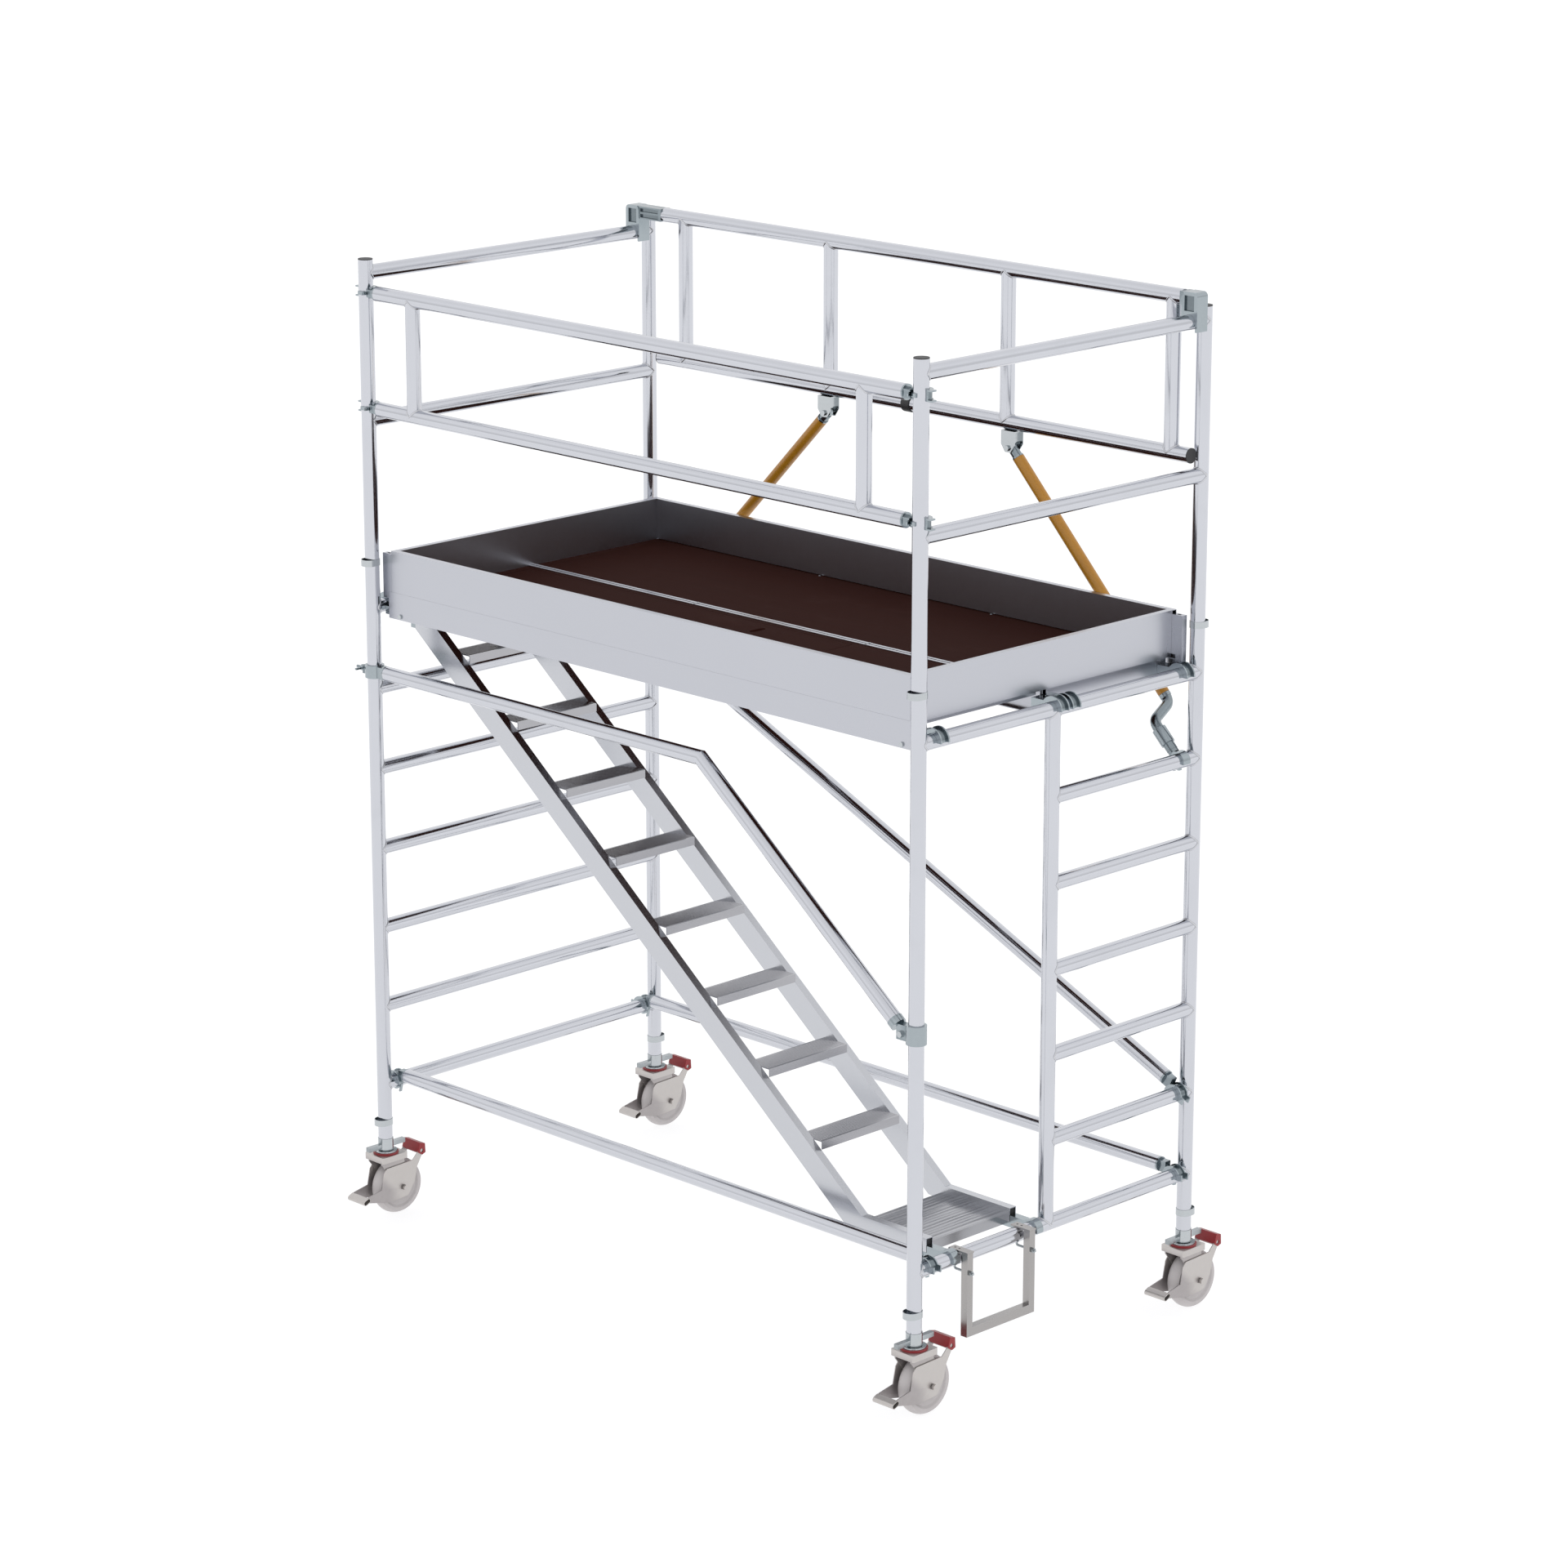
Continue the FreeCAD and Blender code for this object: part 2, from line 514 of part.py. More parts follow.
def knee_brace_ends():
    """Zinc ends: a flattened eye in the bracket, an S-bend in a sleeve, and a claw below."""
    shapes = []
    radius = s.knee_dia / 2
    inner = radius - 2.5 - s.slip
    for side, pivot in knee_pivots():
        route, hook = knee_route(side, pivot)
        along = (route[1] - pivot).normalize()
        eye = cylinder(15, 14, V(pivot.x, pivot.y - 7, pivot.z), AXIS_Y)
        shank = cylinder(inner, 86, pivot + along * 8, along)
        shank = shank.fuse(cylinder(radius, 5.5, pivot + along * 36, along))
        eye = eye.fuse(shank).cut(cylinder(5.2, 40, V(pivot.x, pivot.y - 20, pivot.z), AXIS_Y))
        shapes.append(eye.removeSplitter())
        begin, end = route[1] - along * 32, (route[3] - route[2]).normalize()
        bend = pipe([begin, route[1], route[2], route[3]], radius - 2, 34)
        collar = cylinder(radius, 12, begin, along)
        stub = cylinder(inner, 58, begin - along * 46.5, along)
        sleeve = cylinder(radius + 4, 58, route[2] + end * 32, end)
        ferrule = cylinder(radius - 1, 30, route[2] + end * 86, end)
        grip = TUBE_R + s.slip
        half = s.claw_width / 2 - 1
        jaw = hollow(grip + s.claw_wall, grip, 2 * half, hook - AXIS_Y * half, AXIS_Y)
        jaw = jaw.cut(box(hook.x - 60, hook.x + 60, hook.y - 40, hook.y + 40, hook.z - 60, hook.z - 6))
        body = bend.multiFuse([collar, stub, sleeve, ferrule, jaw])
        shapes.append(body.cut(cylinder(grip, 120, hook - AXIS_Y * 60, AXIS_Y)).removeSplitter())
        turn = FreeCAD.Rotation(AXIS_Z, 0 if side < 0 else 180)
        shapes.append(placed(latch(0), hook, turn))
    feature("knee_brace_ends", shapes)


def base_braces():
    """Horizontal tubes from end frame to end frame, hooked on the bottom rungs."""
    start, length = "-bay_length/2 + claw_reach + slip", "bay_length - 2 * claw_reach - 2 * slip"
    level = rung_cell(0) + " + brace_lift"
    inset = "(bay_width/2 - brace_inset)"
    members = [tube("base_brace_front", (start, "-" + inset, level), "x", length),
               tube("base_brace_rear", (start, inset, level), "x", length)]
    node(group("base", members), "base_braces")


def diagonal_brace():
    """Rear brace from the sixth rung by post d to the second rung by post c."""
    slope = math.radians(diagonal_line())
    along = V(math.cos(slope), 0, -math.sin(slope))
    lift = V(math.sin(slope), 0, math.cos(slope)) * s.brace_lift
    start = V(-HALF_X, HALF_Y - s.brace_inset, rung_height(5)) + lift
    span = math.hypot(s.bay_length, rung_height(5) - rung_height(1))
    first = s.claw_reach + s.slip
    feature("diagonal_brace", [hollow(TUBE_R, TUBE_R - s.tube_wall, span - 2 * first, start + along * first,
                                      along)])


# ---------------------------------------------------------------- stair handrail
def handrail_points():
    top = V(HALF_X - s.handrail_bend_clear, -HALF_Y, s.handrail_height)
    return [V(-HALF_X + 67, -HALF_Y, s.handrail_height), top,
            V(HALF_X - s.handrail_foot_clear, -HALF_Y, s.handrail_foot_height)]


def handrail():
    """Level tube from post a, mitred and welded to a tube that falls to post b along the stairway."""
    points = handrail_points()
    rail = pipe(points, TUBE_R).cut(pipe(points, TUBE_R - s.tube_wall))
    normal = (points[1] - points[0]).normalize() + (points[2] - points[1]).normalize()
    feature("handrail", mitred(rail, points[1], normal))


def handrail_couplers():
    """Clamps on posts a and b that hold the handrail ends."""
    grip, points = TUBE_R + s.slip, handrail_points()
    left, y, z = -HALF_X, -HALF_Y, points[0].z
    ring_a = hollow(grip + 8, grip, 44, V(left, y, z - 22), AXIS_Z)
    end = left + 66.7
    arm_a = box(left + grip + 4, end, y - 17, y + 17, z - 20, z + 20)
    collar = cylinder(TUBE_R, 5, V(end - 5, y, z), AXIS_X)
    stub_a = cylinder(TUBE_R - s.tube_wall - s.slip, 50, V(end - 5, y, z), AXIS_X)
    ears = box(left - grip - 24, left - grip - 4, y - 13, y + 13, z - 15, z + 15)
    screw = cylinder(5, 46, V(left - grip - 20, y, z), -AXIS_X)
    body_a = ring_a.multiFuse([arm_a, collar, stub_a, ears, screw]).removeSplitter()
    foot = points[2]
    ring_b = hollow(grip + 8, grip, 62, V(HALF_X, y, foot.z - 60), AXIS_Z)
    along = (points[2] - points[1]).normalize()
    cheek = box(HALF_X - grip - 46, HALF_X - grip - 4, y - 16, y + 16, foot.z - 56, foot.z - 6)
    collar_b = cylinder(TUBE_R + 2, 24, foot + along * 0.3, along)
    stub_b = cylinder(TUBE_R - s.tube_wall - s.slip, 50, foot - along * 40, along)
    post_core = cylinder(grip, 400, V(HALF_X, y, foot.z - 200), AXIS_Z)
    body_b = ring_b.multiFuse([cheek, collar_b, stub_b]).cut(post_core).removeSplitter()
    feature("handrail_couplers", [body_a, body_b])


def coupler_wing_nut():
    """Wing nut on the screw of the coupler at post a."""
    at = V(-HALF_X - TUBE_R - s.slip - 25, -HALF_Y, s.handrail_height)
    hub = cylinder(11, 16, at, -AXIS_X)
    wings = [box(at.x - 14, at.x - 6, at.y - 34, at.y - 6, at.z - 3, at.z + 3),
             box(at.x - 14, at.x - 6, at.y + 6, at.y + 34, at.z - 3, at.z + 3)]
    nut = hub.multiFuse(wings).cut(cylinder(5.1, 60, at + AXIS_X * 20, -AXIS_X))
    feature("coupler_wing_nut", [nut.removeSplitter()])


# ---------------------------------------------------------------- stairway
FOOT_X = s.landing_end - s.landing_length
HEAD_X = s.head_end_clear - HALF_X
HEAD_Z = RAIL_BOTTOM - 2.5
SLOPE = math.atan2(HEAD_Z - s.landing_top, FOOT_X + HALF_X - s.stair_head_clear)
TREAD_RISE = (s.deck_top - s.tread_first - s.tread_last_step) / (s.tread_count - 1)


def stair_line(x, shift=0):
    """Height of the stringers' upper edge at x, or of a line below it by a square distance."""
    return s.landing_top + (FOOT_X - x) * math.tan(SLOPE) - shift / math.cos(SLOPE)


def stringer_outline(inset):
    """Side view of a stringer with its level foot rail, drawn inward by an inset."""
    low = s.landing_top - s.landing_rail_depth
    top, bottom = s.landing_top - inset, low + inset
    depth = s.stringer_depth
    x_low = FOOT_X + (s.landing_top - depth / math.cos(SLOPE) - low) / math.tan(SLOPE)
    shift = inset * (1 / math.sin(SLOPE) - 1 / math.tan(SLOPE))
    x_cut = FOOT_X - (HEAD_Z - s.landing_top + inset / math.cos(SLOPE)) / math.tan(SLOPE)
    return [V(FOOT_X - shift, 0, top), V(s.landing_end, 0, top), V(s.landing_end, 0, bottom),
            V(x_low + shift, 0, bottom), V(HEAD_X, 0, stair_line(HEAD_X, depth - inset)),
            V(HEAD_X, 0, HEAD_Z), V(x_cut, 0, HEAD_Z)]


def stair_stringers():
    """Rectangular tubes mitred and welded to level rails at the foot."""
    shapes = []
    half, wall = s.stringer_width / 2, s.stringer_wall
    outline = stringer_outline(0)
    seam = outline[3] - outline[0]
    normal = V(-seam.z, 0, seam.x)
    for y in (s.stair_near, s.stair_far):
        outside = prism(outline, V(0, s.stringer_width, 0)).translated(V(0, y - half, 0))
        inside = prism(stringer_outline(wall), V(0, s.stringer_width - 2 * wall, 0))
        stringer = outside.cut(inside.translated(V(0, y - half + wall, 0)))
        shapes += mitred(stringer, outline[0], normal)
    feature("stair_stringers", shapes)


def stair_hooks():
    """Cast hooks that hang the stringer heads on the top rung and hold the foot rails on the bottom one."""
    shapes = []
    grip, half = TUBE_R + s.slip, s.stringer_width / 2
    low = s.landing_top - s.landing_rail_depth
    foot_z, head_z = rung_height(0), rung_height(6)
    clear = s.stringer_wall + s.slip
    for y in (s.stair_near, s.stair_far):
        core = cylinder(grip, 80, V(HALF_X, y - 40, foot_z), AXIS_Y)
        jaw = cylinder(grip + 8, 2 * half, V(HALF_X, y - half, foot_z), AXIS_Y)
        jaw = jaw.cut(box(HALF_X - 60, HALF_X + 60, y - 30, y + 30, foot_z - 60, foot_z - 8))
        neck = box(s.landing_end - 70, HALF_X - 20, y - half, y + half, low - 18.3, low - s.slip)
        riser = box(s.landing_end + 2, HALF_X - 20, y - half, y + half, low - 18.3, low + 22)
        shapes.append(jaw.multiFuse([neck, riser]).cut(core).removeSplitter())
        core = cylinder(grip, 80, V(-HALF_X, y - 40, head_z), AXIS_Y)
        jaw = cylinder(grip + 8, 2 * half, V(-HALF_X, y - half, head_z), AXIS_Y)
        jaw = jaw.cut(box(-HALF_X - 60, -HALF_X + 60, y - 30, y + 30, head_z - 60, head_z - 6))
        base = stair_line(HEAD_X, s.stringer_depth) + 2
        plate = box(-HALF_X + grip, -HALF_X + grip + 14, y - half, y + half, base, head_z + 4)
        block_shape = box(-HALF_X + grip, HEAD_X - s.slip, y - half, y + half, base, HEAD_Z)
        stub = box(HEAD_X - 1, HEAD_X + 14, y - half + clear, y + half - clear,
                   stair_line(HEAD_X, s.stringer_depth - clear) + 1, HEAD_Z - 4)
        shapes.append(jaw.multiFuse([plate, block_shape, stub]).cut(core).removeSplitter())
    feature("stair_hooks", shapes)


def stair_width():
    half = s.stringer_width / 2
    return s.stair_near + half, s.stair_far - half


def stair_treads():
    """Ribbed channel treads between the stringers."""
    y0, y1 = stair_width()
    shapes = []
    for i in range(int(s.tread_count)):
        top = s.tread_first + i * TREAD_RISE
        nose = FOOT_X - (top - s.tread_nose - 4 - s.landing_top) / math.tan(SLOPE)
        back = nose - s.tread_depth
        outline = [V(back, 0, top - 20), V(back, 0, top)]
        rib = 7.5
        count = int(s.tread_depth / rib) - 1
        for j in range(1, count):
            x = back + j * rib
            outline += [V(x, 0, top), V(x + 1, 0, top + 1.2), V(x + 3, 0, top + 1.2), V(x + 4, 0, top)]
        outline += [V(nose, 0, top), V(nose, 0, top - s.tread_nose), V(nose - s.plate, 0, top - s.tread_nose),
                    V(nose - s.plate, 0, top - s.plate), V(back + s.plate, 0, top - s.plate),
                    V(back + s.plate, 0, top - 20)]
        shapes.append(prism(outline, V(0, y1 - y0, 0)).translated(V(0, y0, 0)))
    feature("stair_treads", shapes)


def stair_landing():
    """Ribbed plate between the level rails at the foot of the stairway."""
    y0, y1 = stair_width()
    top = s.landing_top - s.landing_drop
    left, right = FOOT_X - 28, s.landing_end - 32
    outline = [V(left, 0, top - 12), V(left, 0, top)]
    rib = 18
    for j in range(1, int((right - left) / rib)):
        x = left + j * rib
        outline += [V(x - 4, 0, top), V(x - 3, 0, top + 1.8), V(x + 3, 0, top + 1.8), V(x + 4, 0, top)]
    outline += [V(right, 0, top), V(right, 0, top - 34), V(right - 3, 0, top - 34), V(right - 3, 0, top - 3),
                V(left + 3, 0, top - 3), V(left + 3, 0, top - 12)]
    feature("stair_landing", [prism(outline, V(0, y1 - y0, 0)).translated(V(0, y0, 0))])


# ---------------------------------------------------------------- decks, trapdoor and toe boards


def rail_section(outer, inward):
    """Section of a deck edge rail in the YZ plane, its flanges pointing inward (+1 or -1)."""
    t, ledge = s.plate, s.deck_top - s.panel_thick
    steps = [(0, RAIL_BOTTOM), (22, RAIL_BOTTOM), (22, RAIL_BOTTOM + t), (t, RAIL_BOTTOM + t), (t, ledge - t),
             (18, ledge - t), (18, ledge), (t, ledge), (t, s.deck_top), (s.lip, s.deck_top),
             (s.lip, LIP_TOP), (0, LIP_TOP)]
    return [V(0, outer + inward * u, z) for u, z in steps]


def deck_ends():
    return -s.deck_length / 2, s.deck_length / 2


def deck_frame(label, y_out, y_in):
    """Aluminium frame of one deck: edge rails, end rails and cross members under the panel."""
    x0, x1 = deck_ends()
    toward = 1 if y_in > y_out else -1
    inner = prism(rail_section(y_in, -toward), V(2 * PANEL_END, 0, 0)).translated(V(-PANEL_END, 0, 0))
    shapes = [prism(rail_section(y_out, toward), V(x1 - x0, 0, 0)).translated(V(x0, 0, 0)), inner]
    low, high = sorted((y_out, y_in))
    ledge = s.deck_top - s.panel_thick
    bars = [(-PANEL_END, 25), (-0.16 * s.deck_length, 30), (0.17 * s.deck_length, 30)]
    if label == "deck_front_frame":
        shapes.append(box(PANEL_END - 45, PANEL_END, low + 22.2, high - 22.2, ledge - 14, ledge - 0.2))
    else:
        bars.append((PANEL_END - 25, 25))
    for x, width in bars:
        if label == "deck_front_frame" and s.door_left < x < s.door_right:
            continue
        bar = box(x, x + width, low + 22.2, high - 22.2, RAIL_BOTTOM, ledge - 0.2)
        bar = bar.cut(box(x + 3, x + width - 3, low, high, RAIL_BOTTOM + 3, ledge - 3.2))
        shapes.append(bar)
    if label == "deck_front_frame":
        shapes += door_ledges(low, high, ledge)
    feature(label, shapes)


def door_ledges(low, high, ledge):
    """Flat bars under the rim of the trapdoor opening."""
    z0, z1 = ledge - 6.2, ledge - 0.2
    left, right = s.door_left - 10, s.door_right + 14
    rim = 10
    return [box(left, s.door_left + rim, low + 22.2, high - 22.2, z0, z1),
            box(s.door_left + rim + 0.2, s.door_right - rim - 0.2, s.door_front - 24, s.door_front + rim, z0, z1),
            box(s.door_right - rim, right, low + 22.2, high - 22.2, z0, z1)]


def deck_panel(label, y_out, y_in):
    """Phenolic plywood sheet under the rail lips."""
    low, high = sorted((y_out, y_in))
    play = s.plate + s.slip
    sheet_shape = box(-PANEL_END, PANEL_END, low + play, high - play, s.deck_top - s.panel_thick, s.deck_top)
    if label == "deck_front_panel":
        sheet_shape = sheet_shape.cut(box(s.door_left, s.door_right, s.door_front, s.door_back,
                                          s.deck_top - 50, s.deck_top + 50))
    feature(label, [sheet_shape])


HINGE_R = 4
HINGE_Y, HINGE_Z = s.door_front, s.deck_top + 5
HINGE_XS = (s.door_left + 260, s.door_right - 260)


def hinge_knuckle(x0, x1, side):
    """A knuckle round the hinge line with its leaf; side -1 is fixed to the panel, +1 to the door."""
    barrel = cylinder(HINGE_R, x1 - x0, V(x0, HINGE_Y, HINGE_Z), AXIS_X)
    ys = sorted((HINGE_Y, HINGE_Y + side * 28))
    lift = 0.4 if side > 0 else 0.1
    leaf = box(x0, x1, ys[0], ys[1], s.deck_top + lift, s.deck_top + 2.6)
    bore = cylinder(2.1 if side > 0 else 2, x1 - x0, V(x0, HINGE_Y, HINGE_Z), AXIS_X)
    shape = barrel.fuse(leaf).removeSplitter()
    return shape.cut(bore) if side > 0 else shape


def trapdoor():
    """Plywood door in the front deck with a finger slot and its hinge leaves."""
    play = s.door_play
    door = box(s.door_left + play, s.door_right - play, s.door_front + play, s.door_back - play,
               s.deck_top - s.panel_thick + 0.4, s.deck_top)
    slot_x, slot_y = 40, -115
    slot = stadium(11, 44, 60, V(slot_x, slot_y - 22, s.deck_top - 30))
    shapes = [door.cut(slot)]
    for x in HINGE_XS:
        shapes.append(hinge_knuckle(x - 14, x + 14, 1))
    feature("trapdoor", shapes)


def deck_hooks():
    """Cast hooks that hang both decks on the top rungs, each with two half-round flanges."""
    shapes = []
    grip, half = TUBE_R + s.slip, 20
    z = rung_height(6)
    side = s.deck_edge - 22 - s.slip - half - 3
    tongue = s.deck_gap / 2 + half + s.slip + 4
    for sx in (-1, 1):
        bar = sx * HALF_X
        for y in (-side, -tongue, tongue, side):
            jaw = hollow(grip + 9, grip, 2 * half, V(bar, y - half, z), AXIS_Y)
            flange = hollow(grip + 17, grip, 6, V(bar, y - half, z), AXIS_Y)
            jaw = jaw.multiFuse([flange, flange.translated(V(0, 2 * half - 6, 0))])
            jaw = jaw.cut(box(bar - 60, bar + 60, y - 50, y + 50, z - 80, z - 2))
            end = PANEL_END + s.slip
            xs = sorted((sx * end, sx * (HALF_X - 20)))
            body = box(xs[0], xs[1], y - half, y + half, z + 2, z + 24)
            xs = sorted((sx * end, sx * (HALF_X - grip - s.slip)))
            body = body.fuse(box(xs[0], xs[1], y - half, y + half, RAIL_BOTTOM + 6, z + 2))
            if abs(y) == side:
                ys = sorted((math.copysign(side + half - 2, y), math.copysign(s.deck_edge - s.plate - s.slip, y)))
                body = body.fuse(box(xs[0], xs[1], ys[0], ys[1], RAIL_BOTTOM + 10, z + 2))
            body = body.cut(cylinder(grip, 100, V(bar, y - 50, z), AXIS_Y))
            shapes.append(jaw.fuse(body).removeSplitter())
    feature("deck_hooks", shapes)


def toe_limits():
    x1 = s.deck_length / 2 - s.toe_inset
    base = LIP_TOP + s.slip
    return x1, base, base + s.toe_height


def hollow_box(x0, x1, y0, y1, z0, z1, along):
    wall = s.toe_wall
    shape = box(x0, x1, y0, y1, z0, z1)
    if along == "x":
        return shape.cut(box(x0 - 1, x1 + 1, y0 + wall, y1 - wall, z0 + wall, z1 - wall))
    return shape.cut(box(x0 + wall, x1 - wall, y0 - 1, y1 + 1, z0 + wall, z1 - wall))


def toe_boards():
    """Hollow aluminium planks standing on the deck edges."""
    x1, base, top = toe_limits()
    edge, thick = s.deck_edge, s.toe_thick
    shapes = [hollow_box(-x1, x1, -edge, -edge + thick, base, top, "x"),
              hollow_box(-x1, x1, edge - thick, edge, base, top, "x")]
    inner = edge - thick - s.slip
    low = base - s.toe_side_drop
    shapes += [hollow_box(-x1, -x1 + thick, -inner, inner, low, top, "y"),
               hollow_box(x1 - thick, x1, -inner, inner, low, top, "y")]
    feature("toe_boards", shapes)


def toe_corner_clips():
    """End fittings of the long toe boards, with a slot for the board of the next side."""
    x1, base, top = toe_limits()
    shapes = []
    for sx, sy in CORNERS.values():
        xs = sorted((sx * (x1 + s.slip), sx * (x1 + s.clip_width)))
        tab = sorted((sx * (s.deck_length / 2 + 1), sx * (x1 + s.clip_width)))
        ys = sorted((sy * s.deck_edge, sy * (s.deck_edge - s.toe_thick)))
        body = box(xs[0], xs[1], ys[0], ys[1], base, top - 12)
        body = body.fuse(box(tab[0], tab[1], ys[0], ys[1], base - 24, base + 1))
        mid = (xs[0] + xs[1]) / 2
        body = body.cut(box(mid - 8, mid + 8, ys[0] + 6, ys[1] - 6, top - 40, top))
        shapes.append(body.removeSplitter())
    feature("toe_corner_clips", shapes)


# ---------------------------------------------------------------- hanging step
def hanging_step():
    """Square-tube stirrup on the bottom rung of the walk-through frame, with clip plates over the rung."""
    size, wall = s.step_tube, 2
    x0 = HALF_X + TUBE_R + 8
    top = rung_height(0) + TUBE_R + 0.2
    rod_z = top - s.tube_dia - 16
    shapes = []
    for y in (s.step_near, s.step_far):
        leg = box(x0, x0 + size, y - size / 2, y + size / 2, s.step_bottom, top)
        leg = leg.cut(box(x0 + wall, x0 + size - wall, y - size / 2 + wall, y + size / 2 - wall,
                          s.step_bottom - 1, top - wall))
        clip = box(HALF_X - 22, x0 + size + 2, y - size / 2 - 2, y + size / 2 + 2, top, top + 5)
        for x in (HALF_X - 6, HALF_X + 12):
            clip = clip.cut(cylinder(3.5, 20, V(x, y, top - 5), AXIS_Z))
        leg = leg.fuse(clip).cut(cylinder(4.2, 60, V(x0 - 10, y, rod_z), AXIS_X))
        shapes.append(leg.removeSplitter())
    cross = box(x0, x0 + size, s.step_near + size / 2, s.step_far - size / 2, s.step_bottom, s.step_bottom + 30)
    inner = box(x0 + wall, x0 + size - wall, s.step_near, s.step_far, s.step_bottom + wall,
                s.step_bottom + 30 - wall)
    shapes.append(cross.cut(inner))
    feature("hanging_step", shapes)


def hexagon(at, direction, across, thick):
    """A hexagonal nut or bolt head."""
    side = across / math.sqrt(3)
    points = [V(side * math.cos(math.radians(60 * i)), side * math.sin(math.radians(60 * i)), 0)
              for i in range(6)]
    turn = FreeCAD.Rotation(AXIS_Z, direction)
    return placed(prism(points, V(0, 0, thick)), at, turn)


def fasteners():
    """Bolts, rivets, hook bolts of the hanging step and the fixed hinge leaves."""
    shapes = []
    for _, pivot in knee_pivots():
        shank = cylinder(5, 46, pivot - AXIS_Y * 23, AXIS_Y)
        shapes.append(shank.multiFuse([hexagon(pivot - AXIS_Y * 22.2, -AXIS_Y, 17, 7),
                                       hexagon(pivot + AXIS_Y * 22.2, AXIS_Y, 17, 7)]).removeSplitter())
    x0, top = HALF_X + TUBE_R + 8, rung_height(0) + TUBE_R + 0.2
    for y in (s.step_near, s.step_far):
        z = top - s.tube_dia - 16
        route = [V(HALF_X - 8, y, z + 12), V(HALF_X - 8, y, z), V(x0 + s.step_tube + 14, y, z)]
        hook = pipe(route, 4, 6)
        shapes.append(hook.fuse(hexagon(V(x0 + s.step_tube + 0.2, y, z), AXIS_X, 15, 8)).removeSplitter())
    y_face = -s.deck_edge
    for x in (-s.deck_length / 2 + 58, s.deck_length / 2 - 52):
        shapes.append(cylinder(8, 5, V(x, y_face - 0.2, RAIL_BOTTOM + 12), -AXIS_Y))
    edges = (-s.deck_gap / 2 - s.lip / 2, s.deck_gap / 2 + s.lip / 2, s.deck_edge - s.toe_thick - 8)
    for x in (-0.15 * s.deck_length, 0.176 * s.deck_length):
        for y in edges:
            height = LIP_TOP if y < s.deck_edge - s.toe_thick - 8 else s.deck_top
            shapes.append(cylinder(4, 1.6, V(x, y, height + 0.1), AXIS_Z))
    for x in HINGE_XS:
        pin = cylinder(2, 29.2, V(x - 14.6, HINGE_Y, HINGE_Z), AXIS_X)
        knuckles = [hinge_knuckle(x - 36, x - 14.4, -1), hinge_knuckle(x + 14.4, x + 36, -1)]
        shapes.append(pin.multiFuse(knuckles).removeSplitter())
    foot = handrail_points()[2]
    bolt = V(HALF_X - TUBE_R - 26, -HALF_Y - 16.2, foot.z - 36)
    shapes.append(hexagon(bolt, -AXIS_Y, 19, 9))
    feature("fasteners", shapes)


# ---------------------------------------------------------------- casters
def caster(corner, sx, sy):
    """Jack spindle, wing nut, swivel fork, wheel and brake rocker under one post."""
    centre = V(sx * HALF_X, sy * HALF_Y, 0)
    spindle_r = s.spindle_dia / 2
    seal_top = s.swivel_top + s.run + 6
    stem = cylinder(spindle_r, s.foot_height + s.jack_insert - seal_top, V(0, 0, seal_top + 0.1), AXIS_Z)
    washer = cylinder(40, 5, V(0, 0, seal_top + 0.1), AXIS_Z)
    under = s.swivel_top - s.fork_wall - s.run - 4
    pin = cylinder(12, seal_top - under + 2, V(0, 0, under), AXIS_Z)
    keeper = cylinder(18, 4, V(0, 0, under), AXIS_Z)
    feature("spindle_" + corner, [stem.multiFuse([washer, pin, keeper]).removeSplitter()], centre)
    seal = hollow(s.seal_dia / 2, 12.2, 6, V(0, 0, s.swivel_top + s.run), AXIS_Z)
    feature("seal_" + corner, [seal], centre)
    nut_base = s.foot_height - s.run - s.nut_height
    nut = cylinder(s.nut_dia / 2, s.nut_height, V(0, 0, nut_base), AXIS_Z)
    lugs = [box(-9, 9, 14, s.lug_reach, nut_base + 6, nut_base + 22),
            box(-9, 9, -s.lug_reach, -14, nut_base + 6, nut_base + 22)]
    nut = nut.multiFuse(lugs).cut(cylinder(spindle_r + 0.1, 100, V(0, 0, nut_base - 20), AXIS_Z))
    feature("jack_nut_" + corner, [nut.removeSplitter()], centre)
    fork(corner, centre)
    wheel(corner, centre)
    brake(corner, centre)


def fork(corner, centre):
    """Fork with a square top, two legs and the axle bolt with its nut."""
    top, axle_z, inner = s.swivel_top, s.wheel_dia / 2, s.fork_gap / 2
    crown = box(-50, 50, -55, 58, top - 22, top)
    crown = crown.makeFillet(6, [e for e in crown.Edges if e.BoundBox.ZLength > 10])
    crown = crown.cut(box(-44, 44, -49, 52, top - 23, top - 5))
    outer = inner + s.fork_wall
    leg = prism([V(0, -50, top - 6), V(0, 52, top - 6), V(0, 52, top - 30), V(0, s.trail + 24, axle_z + 20),
                 V(0, s.trail + 18, axle_z - 16), V(0, s.trail - 18, axle_z - 16),
                 V(0, s.trail - 34, axle_z + 22), V(0, -50, top - 30)], V(s.fork_wall, 0, 0))
    legs = [leg.translated(V(inner, 0, 0)), leg.translated(V(-outer, 0, 0))]
    bore = cylinder(s.axle_dia / 2 + 0.1, 200, V(-100, s.trail, axle_z), AXIS_X)
    body = crown.multiFuse(legs).cut(bore).cut(cylinder(12.3, 60, V(0, 0, top - 40), AXIS_Z)).removeSplitter()
    bolt = cylinder(s.axle_dia / 2, 104, V(-52, s.trail, axle_z), AXIS_X)
    ends = [hexagon(V(44.6, s.trail, axle_z), AXIS_X, 19, 9), hexagon(V(-44.6, s.trail, axle_z), -AXIS_X, 19, 9)]
    feature("fork_" + corner, [body, bolt.multiFuse(ends).removeSplitter()], centre)


